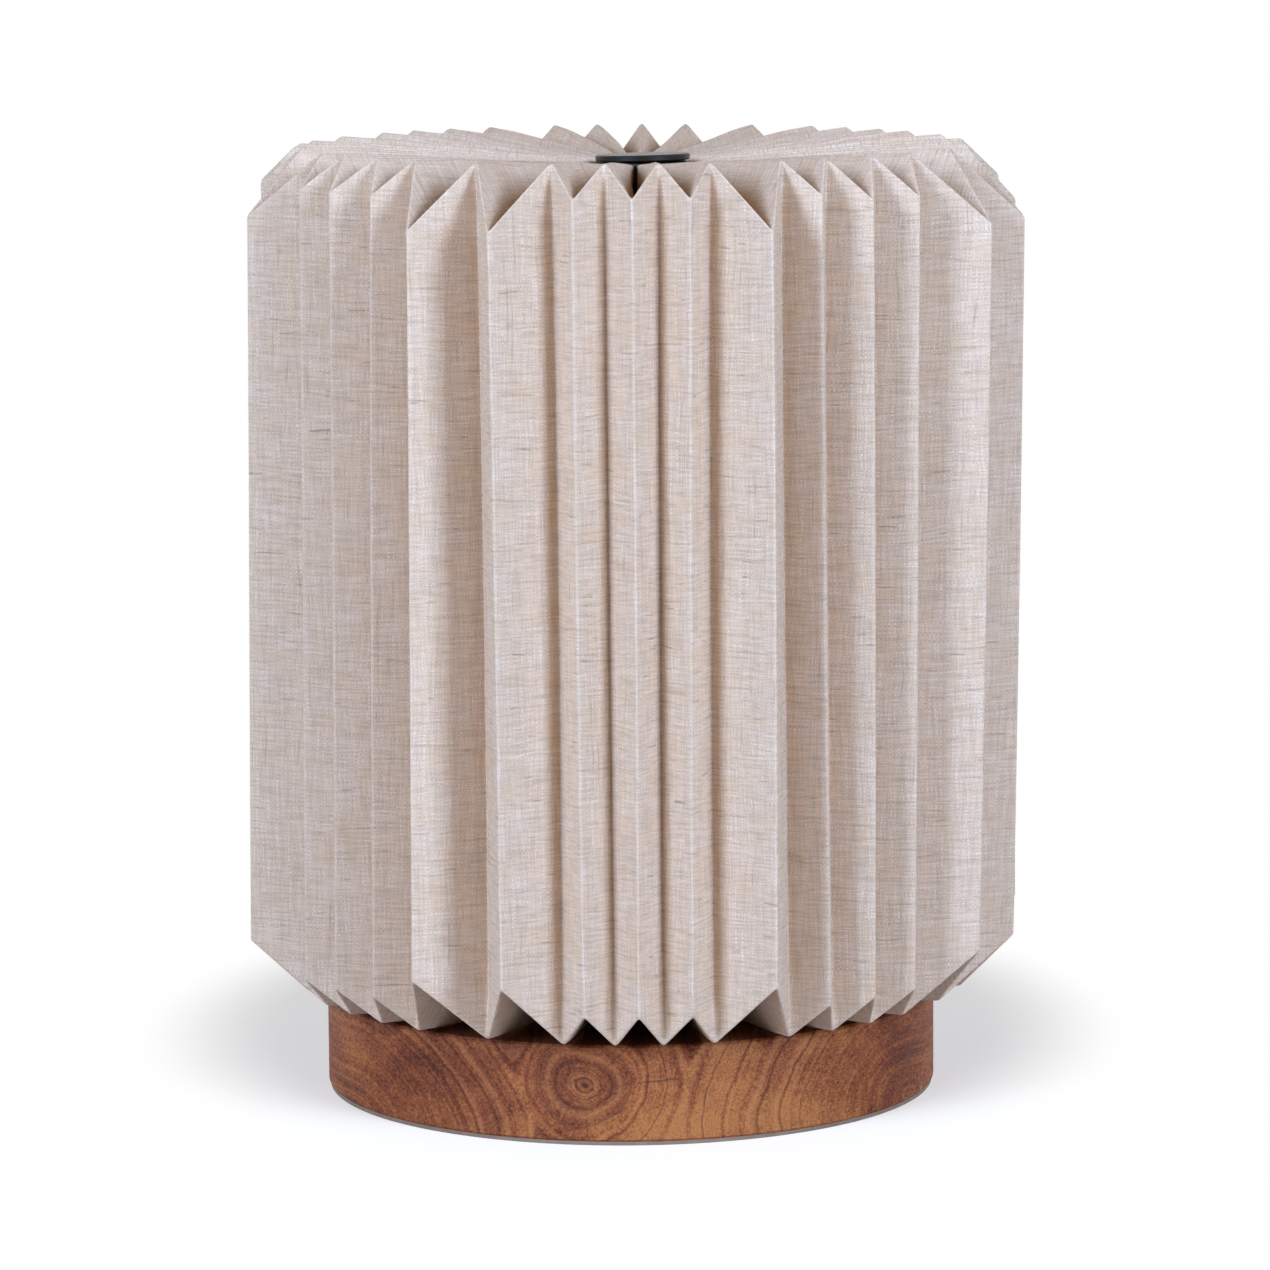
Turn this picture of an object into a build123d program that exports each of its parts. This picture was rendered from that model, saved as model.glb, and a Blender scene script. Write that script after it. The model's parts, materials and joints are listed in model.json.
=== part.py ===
# Table lamp: a closed, reverse-folded linen shade on a turned wooden base.
# Millimetres, +Z up, the front towards -Y. The origin is on the floor, at the centre of the base.
import math
import os

from build123d import *

# Base
BASE_RADIUS = 98.0
BASE_THICKNESS = 30.3
BASE_EDGE_BREAK = 0.7
PAD_THICKNESS = 1.2
PAD_INSET = 0.6
RECESS_RADIUS = 32.0
RECESS_DEPTH = 12.0
CORD_HOLE_HEIGHT = 8.0

# Cord grommet, at the back of the base
GROMMET_BORE_RADIUS = 3.1
GROMMET_RADIUS = 4.2
GROMMET_LENGTH = 12.0
GROMMET_FLANGE_RADIUS = 6.2
GROMMET_FLANGE_THICKNESS = 1.6

# Threaded tube and its fastening
TUBE_RADIUS = 5.0
TUBE_BORE_RADIUS = 3.9
TUBE_TAIL = 7.5
TUBE_HEAD = 11.0
WASHER_RADIUS = 12.0
WASHER_THICKNESS = 1.5
LOCK_WASHER_RADIUS = 8.6
LOCK_WASHER_THICKNESS = 1.0
LOCK_WASHER_TEETH = 10
LOCK_WASHER_NOTCH_RADIUS = 0.9
NUT_ACROSS_FLATS = 14.0
NUT_THICKNESS = 3.6

# Harp: saddle, wire and crown
SADDLE_THICKNESS = 2.0
SADDLE_WIDTH = 14.0
HARP_FOOT_SPREAD = 31.0
HARP_BELLY_SPREAD = 43.0
HARP_WIRE_RADIUS = 1.6
SOCKET_WALL = 1.4
SOCKET_HEIGHT = 14.0
SOCKET_FLOOR = 1.8
HARP_ELBOW_RISE = 26.0
HARP_BELLY_RISE = 66.0
HARP_SHOULDER_ROUND = 34.0
HARP_ELBOW_ROUND = 40.0
CROWN_BOSS_RADIUS = 6.5
CROWN_BOSS_HEIGHT = 4.2
CROWN_FLANGE_RADIUS = 9.5
CROWN_FLANGE_THICKNESS = 2.0
STUD_RADIUS = 3.0

# Lampholder
HOLDER_COLLAR_RADIUS = 10.0
HOLDER_COLLAR_HEIGHT = 8.0
HOLDER_RADIUS = 20.5
HOLDER_WALL = 2.0
HOLDER_CAP_HEIGHT = 23.0
HOLDER_SLEEVE_HEIGHT = 30.0
HOLDER_MOUTH_RADIUS = 15.4
HOLDER_LEDGE = 2.0
INSERT_THICKNESS = 10.0
GRUB_RADIUS = 1.5
GRUB_KEY_DEPTH = 2.0
SCREW_SHELL_RADIUS = 13.3
SCREW_SHELL_WALL = 0.6
SCREW_SHELL_HEIGHT = 19.0
SCREW_SHELL_FLANGE = 3.0
CONTACT_THICKNESS = 0.6
CONTACT_WIDTH = 6.0
CONTACT_RISE = 3.0
TERMINAL_SPREAD = 12.5
TERMINAL_SCREW_RADIUS = 1.5
TERMINAL_SCREW_LENGTH = 6.0
TERMINAL_HEAD_RADIUS = 2.7
TERMINAL_HEAD_HEIGHT = 1.8
TERMINAL_SLOT = 0.7

# Bulb
BULB_CAP_RADIUS = 13.0
BULB_CAP_HEIGHT = 22.0
BULB_CAP_WALL = 0.4
BULB_TIP_RADIUS = 4.6
BULB_TIP_HEIGHT = 1.4
BULB_INSULATOR_RADIUS = 10.5
BULB_INSULATOR_HEIGHT = 3.0
BULB_HOUSING_HEIGHT = 42.0
BULB_HOUSING_COLLAR = 4.0
BULB_HOUSING_LIP = 1.2
BULB_NECK_SINK = 8.0
BULB_RADIUS = 30.0
BULB_RIM_STEP = 1.5
DIFFUSER_WALL = 1.0

# Shade: one folded sheet. Each letter is a pleat, b broad or n narrow, in turn round the shade.
PLEAT_ORDER = "bnnnbbnnnbnnnbbnnbbnnnbbnnnbnnnbbnnn"
FRONT_PLEAT = 7
BROAD_SHARE = 1.52
FRONT_SPREAD = 0.045
INNER_FOLD_RADIUS = 106.0
BROAD_REACH = 20.4
NARROW_REACH = 11.1
SHADE_HEIGHT = 271.0
SHADE_FOOT_GAP = 1.0
TOP_DIP = 6.9
SHEET_DEPTH = 1.5
RUNGS = 3
FLAT_TWIST = 1e-6
SHADE_SHIFT = 2.3

# Shade fittings
HUB_RADIUS = 14.0
HUB_FLANGE_RADIUS = 18.5
HUB_FLANGE_THICKNESS = 3.0
HOOP_RADIUS = 51.7
HOOP_WALL = 1.5
HOOP_HEIGHT = 12.0
CROWN_SHIFT = 5.9

# Top disc
DISC_RADIUS = 15.0
DISC_THICKNESS = 1.6
DISC_EDGE_BREAK = 0.25
DISC_BOSS_RADIUS = 5.6
DISC_BOSS_HEIGHT = 5.0
DISC_TOP_WALL = 0.8

# Clearances
SEAT_GAP = 0.3
SLIDE_GAP = 0.6
THREAD_GAP = 0.05
PIN_GAP = 0.1

# Heights that follow from the sizes above
BASE_TOP = PAD_THICKNESS + BASE_THICKNESS
RECESS_TOP = PAD_THICKNESS + RECESS_DEPTH
HOLDER_FOOT = BASE_TOP + SADDLE_THICKNESS
HOLDER_SEAM = HOLDER_FOOT + HOLDER_CAP_HEIGHT
INSERT_FOOT = HOLDER_SEAM - HOLDER_LEDGE
INSERT_TOP = INSERT_FOOT + INSERT_THICKNESS
TUBE_FOOT = RECESS_TOP - TUBE_TAIL
TUBE_TOP = HOLDER_FOOT + TUBE_HEAD
BULB_TIP = INSERT_TOP + CONTACT_RISE + SEAT_GAP
SHADE_FOOT = BASE_TOP + SHADE_FOOT_GAP
SHADE_TOP = SHADE_FOOT + SHADE_HEIGHT
FOLD_FOOT_END = BASE_TOP + SEAT_GAP
FOLD_TOP_END = SHADE_TOP - TOP_DIP
DISC_FOOT = FOLD_TOP_END + SEAT_GAP + PIN_GAP
DISC_TOP = DISC_FOOT + DISC_THICKNESS
HUB_TOP = DISC_FOOT - SEAT_GAP
HUB_END_RADIUS = HUB_RADIUS + SEAT_GAP
HOOP_END_RADIUS = HOOP_RADIUS + SEAT_GAP


def ring(outer, inner, height, z):
    """A flat ring standing on z."""
    return Pos(0, 0, z) * (extrude(Circle(outer), height) - extrude(Circle(inner), height))


def turned(*profile):
    """A solid of revolution round Z from a closed outline of (radius, height) points."""
    outline = Polyline(*[(r, 0, z) for r, z in profile], close=True)
    return revolve(make_face(outline), Axis.Z)


# The folded sheet


def pleats():
    """Each pleat round the shade: azimuth of its start, its ridge and its end, and the ridge's reach."""
    share = {"n": 1.0, "b": BROAD_SHARE}
    reach = {"n": NARROW_REACH, "b": BROAD_REACH}
    unit = 2 * math.pi / sum(share[kind] for kind in PLEAT_ORDER)
    before = sum(share[kind] for kind in PLEAT_ORDER[:FRONT_PLEAT]) + share[PLEAT_ORDER[FRONT_PLEAT]] / 2
    start = -before * unit
    found = []
    for kind in PLEAT_ORDER:
        end = start + share[kind] * unit
        found.append((spread(start), spread((start + end) / 2), spread(end), reach[kind]))
        start = end
    return found


def spread(azimuth):
    """Pleats stand a little wider apart at the front than at the back."""
    return azimuth + FRONT_SPREAD * math.sin(azimuth)


def around(shift, radius, azimuth, z):
    """A point at an azimuth from the front, round an axis that stands shift to the right."""
    return Vector(shift + radius * math.sin(azimuth), -radius * math.cos(azimuth), z)


def groove_depth(reach, half_angle, radius):
    """How deep the same two panels fold once they have run in to a smaller radius; an inner fold has none."""
    panel_width = math.hypot(reach, INNER_FOLD_RADIUS * half_angle)
    half_opening = min(radius, INNER_FOLD_RADIUS) * half_angle
    return math.sqrt(panel_width**2 - half_opening**2) if reach else 0.0


def inward_run(azimuth, reach, half_angle, end_shift, end_radius, end_z, rim_z, up):
    """The fold from its inner end almost to the rim, a point on each rung; up is 1 at the top, -1 below."""
    rim_radius = INNER_FOLD_RADIUS + reach
    points = []
    for rung in range(RUNGS):
        out = rung / RUNGS
        radius = end_radius + (rim_radius - end_radius) * out
        ridge_z = end_z + (rim_z - end_z) * out
        shift = end_shift + (SHADE_SHIFT - end_shift) * out
        z = ridge_z - up * groove_depth(reach, half_angle, radius)
        points.append(around(shift, radius, azimuth, z))
    return points


def fold_line(azimuth, reach=0.0, half_angle=0.0, inset=0.0):
    """One fold from the hub to the rim, down the wall and in to the hoop, that far inside the outer face."""
    wall = INNER_FOLD_RADIUS + reach - inset
    top_end, top_rim = FOLD_TOP_END - inset, SHADE_TOP - inset
    top = inward_run(azimuth, reach, half_angle, CROWN_SHIFT, HUB_END_RADIUS, top_end, top_rim, 1)
    foot_end, foot_rim = FOLD_FOOT_END + inset, SHADE_FOOT + inset
    foot = inward_run(azimuth, reach, half_angle, SHADE_SHIFT, HOOP_END_RADIUS, foot_end, foot_rim, -1)
    upper_corner = around(SHADE_SHIFT, wall, azimuth, SHADE_TOP - reach - inset)
    lower_corner = around(SHADE_SHIFT, wall, azimuth, SHADE_FOOT + reach + inset)
    return top + [upper_corner, lower_corner] + foot[::-1]


def flat_faces(a, b, c, d):
    """One face for a flat quadrilateral, or two triangles that meet along a-c for a twisted one."""
    twist = (b - a).cross(c - a).dot(d - a)
    corners = [(a, b, c, d)] if abs(twist) < FLAT_TWIST else [(a, b, c), (a, c, d)]
    return [Face(Wire.make_polygon(points)) for points in corners]


def panel_faces(ridge, inner):
    """The faces of the sheet between a ridge and an inner fold, each given as its outer and inner line."""
    faces = []
    for side in (0, 1):
        one, other = ridge[side], inner[side]
        for i in range(len(one) - 1):
            faces += flat_faces(one[i], one[i + 1], other[i + 1], other[i])
    for end in (0, -1):
        faces += flat_faces(ridge[0][end], ridge[1][end], inner[1][end], inner[0][end])
    return faces


def both_sides(azimuth, reach=0.0, half_angle=0.0):
    """A fold's line on the sheet's outer face and on its inner face."""
    return [fold_line(azimuth, reach, half_angle, inset) for inset in (0.0, SHEET_DEPTH)]


def pleated_shade():
    """The whole sheet, closed all round: every panel lies between a ridge and the inner fold beside it."""
    faces = []
    for start, middle, end, reach in pleats():
        ridge = both_sides(middle, reach, (end - start) / 2)
        faces += panel_faces(ridge, both_sides(start)) + panel_faces(ridge, both_sides(end))
    return Solid(Shell(faces))


def deepest_fold():
    """The lowest point of the sheet at the hub."""
    grooves = [groove_depth(reach, (end - start) / 2, HUB_END_RADIUS) for start, _, end, reach in pleats()]
    return FOLD_TOP_END - max(grooves) - SHEET_DEPTH


HUB_FLANGE_TOP = deepest_fold() - SEAT_GAP
HUB_FOOT = HUB_FLANGE_TOP - HUB_FLANGE_THICKNESS
CROWN_TOP = HUB_FOOT - SEAT_GAP
CROWN_FOOT = CROWN_TOP - CROWN_FLANGE_THICKNESS - CROWN_BOSS_HEIGHT
STUD_TOP = DISC_TOP - DISC_TOP_WALL - SEAT_GAP


def shade_hub():
    """The hub under the disc: a plug with a lower flange, bored for the stud and for the disc's boss."""
    body = turned(
        (0, HUB_FOOT),
        (HUB_FLANGE_RADIUS, HUB_FOOT),
        (HUB_FLANGE_RADIUS, HUB_FLANGE_TOP),
        (HUB_RADIUS, HUB_FLANGE_TOP),
        (HUB_RADIUS, HUB_TOP),
        (0, HUB_TOP),
    )
    stud_hole = Pos(0, 0, HUB_FOOT) * extrude(Circle(STUD_RADIUS + SLIDE_GAP), HUB_TOP - HUB_FOOT)
    pocket_foot = DISC_FOOT - DISC_BOSS_HEIGHT - SEAT_GAP
    pocket = Pos(0, 0, pocket_foot) * extrude(Circle(DISC_BOSS_RADIUS + SLIDE_GAP), HUB_TOP - pocket_foot)
    return Pos(CROWN_SHIFT, 0, 0) * (body - stud_hole - pocket)


def shade_hoop():
    """The hoop inside the pleats' lower ends."""
    return Pos(SHADE_SHIFT, 0, 0) * ring(HOOP_RADIUS, HOOP_RADIUS - HOOP_WALL, HOOP_HEIGHT, FOLD_FOOT_END)


def top_disc():
    """The disc with its threaded boss, blind from above."""
    plate = Pos(0, 0, DISC_FOOT) * extrude(Circle(DISC_RADIUS), DISC_THICKNESS)
    plate = chamfer(plate.edges().filter_by(GeomType.CIRCLE), DISC_EDGE_BREAK)
    boss_foot = DISC_FOOT - DISC_BOSS_HEIGHT
    boss = Pos(0, 0, boss_foot) * extrude(Circle(DISC_BOSS_RADIUS), DISC_BOSS_HEIGHT)
    thread = Pos(0, 0, boss_foot) * extrude(Circle(STUD_RADIUS + THREAD_GAP), STUD_TOP + SEAT_GAP - boss_foot)
    return Pos(CROWN_SHIFT, 0, 0) * (plate + boss - thread)


# Base


def base_block():
    """The wooden disc: recess and tube hole below, cord hole to the back."""
    block = Pos(0, 0, PAD_THICKNESS) * extrude(Circle(BASE_RADIUS), BASE_THICKNESS)
    block = chamfer(block.edges().filter_by(GeomType.CIRCLE), BASE_EDGE_BREAK)
    recess = Pos(0, 0, PAD_THICKNESS) * extrude(Circle(RECESS_RADIUS), RECESS_DEPTH)
    tube_hole = extrude(Circle(TUBE_RADIUS + SEAT_GAP), BASE_TOP)
    flange_seat = GROMMET_FLANGE_THICKNESS + PIN_GAP
    cord_hole = along_back(GROMMET_RADIUS + PIN_GAP, 0, BASE_RADIUS)
    flange_pocket = along_back(GROMMET_FLANGE_RADIUS + PIN_GAP, BASE_RADIUS - flange_seat, BASE_RADIUS)
    return block - recess - tube_hole - cord_hole - flange_pocket


def along_back(radius, start, end):
    """A cylinder from the centre towards the back, at the cord hole's height."""
    axis = Plane(origin=(0, start, CORD_HOLE_HEIGHT), z_dir=(0, 1, 0))
    return axis * extrude(Circle(radius), end - start)


def base_pad():
    """The thin pad under the wood."""
    return extrude(Circle(BASE_RADIUS - PAD_INSET), PAD_THICKNESS)


def cord_grommet():
    """The inlet bushing, its flange let into the back of the base."""
    back = BASE_RADIUS - PIN_GAP
    body = along_back(GROMMET_RADIUS, back - GROMMET_LENGTH, back)
    flange = along_back(GROMMET_FLANGE_RADIUS, back - GROMMET_FLANGE_THICKNESS, back)
    return body + flange - along_back(GROMMET_BORE_RADIUS, 0, BASE_RADIUS)


def threaded_tube():
    return ring(TUBE_RADIUS, TUBE_BORE_RADIUS, TUBE_TOP - TUBE_FOOT, TUBE_FOOT)


def tube_washer():
    return ring(WASHER_RADIUS, TUBE_RADIUS + PIN_GAP, WASHER_THICKNESS, RECESS_TOP - WASHER_THICKNESS)


def tube_lock_washer():
    """A toothed washer: notches round its rim leave the teeth."""
    z = RECESS_TOP - WASHER_THICKNESS - LOCK_WASHER_THICKNESS
    body = ring(LOCK_WASHER_RADIUS, TUBE_RADIUS + PIN_GAP, LOCK_WASHER_THICKNESS, z)
    notch = Pos(0, 0, z) * extrude(Circle(LOCK_WASHER_NOTCH_RADIUS), LOCK_WASHER_THICKNESS)
    return body - PolarLocations(LOCK_WASHER_RADIUS, LOCK_WASHER_TEETH) * notch


def tube_nut():
    z = RECESS_TOP - WASHER_THICKNESS - LOCK_WASHER_THICKNESS - NUT_THICKNESS
    blank = RegularPolygon(NUT_ACROSS_FLATS / 2, 6, major_radius=False)
    return Pos(0, 0, z) * extrude(blank - Circle(TUBE_RADIUS + PIN_GAP), NUT_THICKNESS)


# Harp


def lean(z):
    """How far the harp leans to the right at a height."""
    return CROWN_SHIFT * (z - HOLDER_FOOT) / (CROWN_FOOT - HOLDER_FOOT)


def harp_saddle():
    """A strap under the lampholder with a socket at each end."""
    strap = extrude(Rectangle(2 * HARP_FOOT_SPREAD, SADDLE_WIDTH), SADDLE_THICKNESS)
    strap += PolarLocations(HARP_FOOT_SPREAD, 2) * extrude(Circle(SADDLE_WIDTH / 2), SADDLE_THICKNESS)
    strap -= extrude(Circle(TUBE_RADIUS + PIN_GAP), SADDLE_THICKNESS)
    socket = extrude(Circle(HARP_WIRE_RADIUS + PIN_GAP + SOCKET_WALL), SOCKET_HEIGHT)
    bore = Pos(0, 0, SOCKET_FLOOR) * extrude(Circle(HARP_WIRE_RADIUS + PIN_GAP), SOCKET_HEIGHT)
    strap = strap + PolarLocations(HARP_FOOT_SPREAD, 2) * socket - PolarLocations(HARP_FOOT_SPREAD, 2) * bore
    return Pos(0, 0, BASE_TOP) * strap


def harp_wire():
    """One bent wire: up out of a socket, out round the bulb, over the top and down again."""
    foot = BASE_TOP + SOCKET_FLOOR + PIN_GAP
    elbow = BASE_TOP + HARP_ELBOW_RISE
    belly = BASE_TOP + HARP_BELLY_RISE
    corners = [
        (-HARP_FOOT_SPREAD, 0, foot),
        (-HARP_FOOT_SPREAD, 0, elbow),
        (-HARP_BELLY_SPREAD, 0, belly),
        (lean(CROWN_FOOT) - HARP_BELLY_SPREAD, 0, CROWN_FOOT),
        (lean(CROWN_FOOT) + HARP_BELLY_SPREAD, 0, CROWN_FOOT),
        (HARP_BELLY_SPREAD, 0, belly),
        (HARP_FOOT_SPREAD, 0, elbow),
        (HARP_FOOT_SPREAD, 0, foot),
    ]
    rounds = [HARP_ELBOW_ROUND, HARP_ELBOW_ROUND, HARP_SHOULDER_ROUND]
    path = FilletPolyline(*corners, radius=rounds + rounds[::-1])
    return sweep(Pos(*corners[0]) * Circle(HARP_WIRE_RADIUS), path=path)


def harp_crown():
    """The boss that sits over the wire, its flange and the stud for the disc."""
    flange_foot = CROWN_FOOT + CROWN_BOSS_HEIGHT
    body = turned(
        (0, CROWN_FOOT),
        (CROWN_BOSS_RADIUS, CROWN_FOOT),
        (CROWN_BOSS_RADIUS, flange_foot),
        (CROWN_FLANGE_RADIUS, flange_foot),
        (CROWN_FLANGE_RADIUS, CROWN_TOP),
        (STUD_RADIUS, CROWN_TOP),
        (STUD_RADIUS, STUD_TOP),
        (0, STUD_TOP),
    )
    groove_axis = Plane(origin=(-CROWN_BOSS_RADIUS, 0, CROWN_FOOT), z_dir=(1, 0, 0))
    groove = groove_axis * extrude(Circle(HARP_WIRE_RADIUS + THREAD_GAP), 2 * CROWN_BOSS_RADIUS)
    return Pos(CROWN_SHIFT, 0, 0) * (body - groove)


# Lampholder


def holder_cap():
    """The lower cap: a threaded collar that widens into a cup, with a ledge inside for the insert."""
    collar_top = HOLDER_FOOT + HOLDER_COLLAR_HEIGHT
    shoulder = HOLDER_SEAM - HOLDER_LEDGE - HOLDER_WALL
    thread = TUBE_RADIUS + THREAD_GAP
    inner = HOLDER_RADIUS - 2 * HOLDER_WALL
    body = turned(
        (thread, HOLDER_FOOT),
        (HOLDER_COLLAR_RADIUS, HOLDER_FOOT),
        (HOLDER_COLLAR_RADIUS, collar_top),
        (HOLDER_RADIUS, shoulder),
        (HOLDER_RADIUS, HOLDER_SEAM),
        (HOLDER_RADIUS - HOLDER_WALL, HOLDER_SEAM),
        (HOLDER_RADIUS - HOLDER_WALL, INSERT_FOOT),
        (inner, INSERT_FOOT),
        (inner, shoulder),
        (HOLDER_COLLAR_RADIUS - HOLDER_WALL, collar_top),
        (thread, collar_top),
    )
    return body - across_collar(GRUB_RADIUS + THREAD_GAP, TUBE_RADIUS, HOLDER_RADIUS)


def across_collar(radius, start, end):
    """A cylinder out through the collar towards the back."""
    axis = Plane(origin=(0, start, HOLDER_FOOT + HOLDER_COLLAR_HEIGHT / 2), z_dir=(0, 1, 0))
    return axis * extrude(Circle(radius), end - start)


def holder_grub_screw():
    """A headless screw with a hexagon socket."""
    start, end = TUBE_RADIUS + PIN_GAP, HOLDER_COLLAR_RADIUS - PIN_GAP
    key = Plane(origin=(0, end, HOLDER_FOOT + HOLDER_COLLAR_HEIGHT / 2), z_dir=(0, -1, 0))
    socket = key * extrude(RegularPolygon(GRUB_RADIUS / 2, 6), GRUB_KEY_DEPTH)
    return across_collar(GRUB_RADIUS, start, end) - socket


def holder_sleeve():
    """The upper sleeve, turned in at its mouth."""
    top = HOLDER_SEAM + HOLDER_SLEEVE_HEIGHT
    return turned(
        (HOLDER_RADIUS - HOLDER_WALL, HOLDER_SEAM),
        (HOLDER_RADIUS, HOLDER_SEAM),
        (HOLDER_RADIUS, top),
        (HOLDER_MOUTH_RADIUS, top),
        (HOLDER_MOUTH_RADIUS, top - HOLDER_WALL),
        (HOLDER_RADIUS - HOLDER_WALL, top - HOLDER_WALL),
    )


def holder_insert():
    """The ceramic insert, with a hole for each terminal screw and one for the wires."""
    radius = HOLDER_RADIUS - HOLDER_WALL - SEAT_GAP
    body = Pos(0, 0, INSERT_FOOT) * extrude(Circle(radius), INSERT_THICKNESS)
    hole = extrude(Circle(TERMINAL_SCREW_RADIUS + THREAD_GAP), TERMINAL_SCREW_LENGTH + SEAT_GAP)
    sink = extrude(Circle(TERMINAL_HEAD_RADIUS + PIN_GAP), TERMINAL_HEAD_HEIGHT + SEAT_GAP)
    sunk = Pos(0, 0, -SEAT_GAP) * sink
    for place in terminal_places():
        body -= place * (Pos(0, 0, TERMINAL_HEAD_HEIGHT) * hole + sunk)
    return body


def terminal_places():
    """The two terminal screws, on the insert's underside."""
    return [Pos(0, side * TERMINAL_SPREAD, INSERT_FOOT) for side in (-1, 1)]


def terminal_screws():
    """Two cheese-head screws, heads down."""
    head = extrude(Circle(TERMINAL_HEAD_RADIUS), TERMINAL_HEAD_HEIGHT)
    slot = extrude(Rectangle(2 * TERMINAL_HEAD_RADIUS, TERMINAL_SLOT), TERMINAL_HEAD_HEIGHT / 2)
    shank = Pos(0, 0, TERMINAL_HEAD_HEIGHT) * extrude(Circle(TERMINAL_SCREW_RADIUS), TERMINAL_SCREW_LENGTH)
    return Compound([place * (head - slot + shank) for place in terminal_places()])


def screw_shell():
    """The metal shell that takes the bulb's cap, standing on the insert by a narrow flange."""
    inner, outer = SCREW_SHELL_RADIUS, SCREW_SHELL_RADIUS + SCREW_SHELL_WALL
    top = INSERT_TOP + SCREW_SHELL_HEIGHT
    return turned(
        (inner, INSERT_TOP),
        (inner + SCREW_SHELL_FLANGE, INSERT_TOP),
        (inner + SCREW_SHELL_FLANGE, INSERT_TOP + SCREW_SHELL_WALL),
        (outer, INSERT_TOP + SCREW_SHELL_WALL),
        (outer, top),
        (inner, top),
    )


def centre_contact():
    """A bent tongue: its foot on the insert, its free end under the bulb's contact."""
    reach = SCREW_SHELL_RADIUS - 3 * SEAT_GAP
    line = Polyline(
        (-reach, 0, INSERT_TOP + CONTACT_THICKNESS / 2),
        (-reach / 2, 0, INSERT_TOP + CONTACT_THICKNESS / 2),
        (-reach / 5, 0, INSERT_TOP + CONTACT_RISE - CONTACT_THICKNESS / 2),
        (reach / 4, 0, INSERT_TOP + CONTACT_RISE - CONTACT_THICKNESS / 2),
    )
    strip = Plane.XZ * trace(Plane.XZ.to_local_coords(line), CONTACT_THICKNESS)
    return extrude(strip, CONTACT_WIDTH / 2, both=True)


# Bulb


def bulb_contact():
    """The tip contact, its lower edge broken."""
    tip = Pos(0, 0, BULB_TIP) * extrude(Circle(BULB_TIP_RADIUS), BULB_TIP_HEIGHT)
    return chamfer(tip.edges().filter_by(GeomType.CIRCLE).sort_by(Axis.Z)[0], BULB_TIP_HEIGHT / 2)


def bulb_insulator():
    """The insulating cone between the tip and the cap."""
    foot = BULB_TIP + BULB_TIP_HEIGHT
    return turned(
        (0, foot),
        (BULB_TIP_RADIUS + SEAT_GAP, foot),
        (BULB_INSULATOR_RADIUS, foot + BULB_INSULATOR_HEIGHT),
        (0, foot + BULB_INSULATOR_HEIGHT),
    )


BULB_CAP_FOOT = BULB_TIP + BULB_TIP_HEIGHT + BULB_INSULATOR_HEIGHT
BULB_CAP_TOP = BULB_CAP_FOOT + BULB_CAP_HEIGHT


def bulb_cap():
    """The screw cap, closed below onto the insulator."""
    inner = BULB_CAP_RADIUS - BULB_CAP_WALL
    return turned(
        (0, BULB_CAP_FOOT),
        (BULB_INSULATOR_RADIUS, BULB_CAP_FOOT),
        (BULB_CAP_RADIUS, BULB_CAP_FOOT + BULB_CAP_RADIUS - BULB_INSULATOR_RADIUS),
        (BULB_CAP_RADIUS, BULB_CAP_TOP),
        (inner, BULB_CAP_TOP),
        (inner, BULB_CAP_FOOT + BULB_CAP_RADIUS - BULB_INSULATOR_RADIUS + BULB_CAP_WALL),
        (BULB_INSULATOR_RADIUS, BULB_CAP_FOOT + BULB_CAP_WALL),
        (0, BULB_CAP_FOOT + BULB_CAP_WALL),
    )


def bulb_housing():
    """The moulded cone between the cap and the diffuser; a step round its rim locates the diffuser."""
    neck = BULB_CAP_RADIUS - BULB_CAP_WALL - PIN_GAP
    collar = BULB_CAP_RADIUS + BULB_HOUSING_LIP
    rim = BULB_CAP_TOP + BULB_HOUSING_HEIGHT
    step = BULB_RADIUS - DIFFUSER_WALL - PIN_GAP
    return turned(
        (0, BULB_CAP_TOP - BULB_NECK_SINK),
        (neck, BULB_CAP_TOP - BULB_NECK_SINK),
        (neck, BULB_CAP_TOP),
        (collar, BULB_CAP_TOP),
        (collar, BULB_CAP_TOP + BULB_HOUSING_COLLAR),
        (BULB_RADIUS, rim - BULB_RIM_STEP),
        (BULB_RADIUS, rim),
        (step, rim),
        (step, rim + BULB_RIM_STEP),
        (0, rim + BULB_RIM_STEP),
    )


def bulb_diffuser():
    """The opal dome: a short straight skirt over the housing's step and a half ball on it."""
    rim = BULB_CAP_TOP + BULB_HOUSING_HEIGHT
    skirt = 2 * BULB_RIM_STEP
    outside = dome_outline(BULB_RADIUS, rim, skirt)
    inside = dome_outline(BULB_RADIUS - DIFFUSER_WALL, rim, skirt)
    top = Line(outside @ 1, inside @ 1)
    foot = Line(outside @ 0, inside @ 0)
    return revolve(make_face(outside + inside + top + foot), Axis.Z)


def dome_outline(radius, foot, skirt):
    """A straight rise and a quarter circle to the axis."""
    centre = foot + skirt
    corner = radius * math.cos(math.pi / 4)
    quarter = ThreePointArc((radius, 0, centre), (corner, 0, centre + corner), (0, 0, centre + radius))
    return Line((radius, 0, foot), (radius, 0, centre)) + quarter


MAKERS = [
    base_block,
    base_pad,
    cord_grommet,
    threaded_tube,
    tube_washer,
    tube_lock_washer,
    tube_nut,
    harp_saddle,
    harp_wire,
    harp_crown,
    holder_cap,
    holder_grub_screw,
    holder_sleeve,
    holder_insert,
    terminal_screws,
    screw_shell,
    centre_contact,
    bulb_contact,
    bulb_insulator,
    bulb_cap,
    bulb_housing,
    bulb_diffuser,
    pleated_shade,
    shade_hub,
    shade_hoop,
    top_disc,
]

os.makedirs("parts", exist_ok=True)
for make in MAKERS:
    export_step(make(), f"parts/{make.__name__}.step")
    print("wrote", make.__name__)
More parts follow.
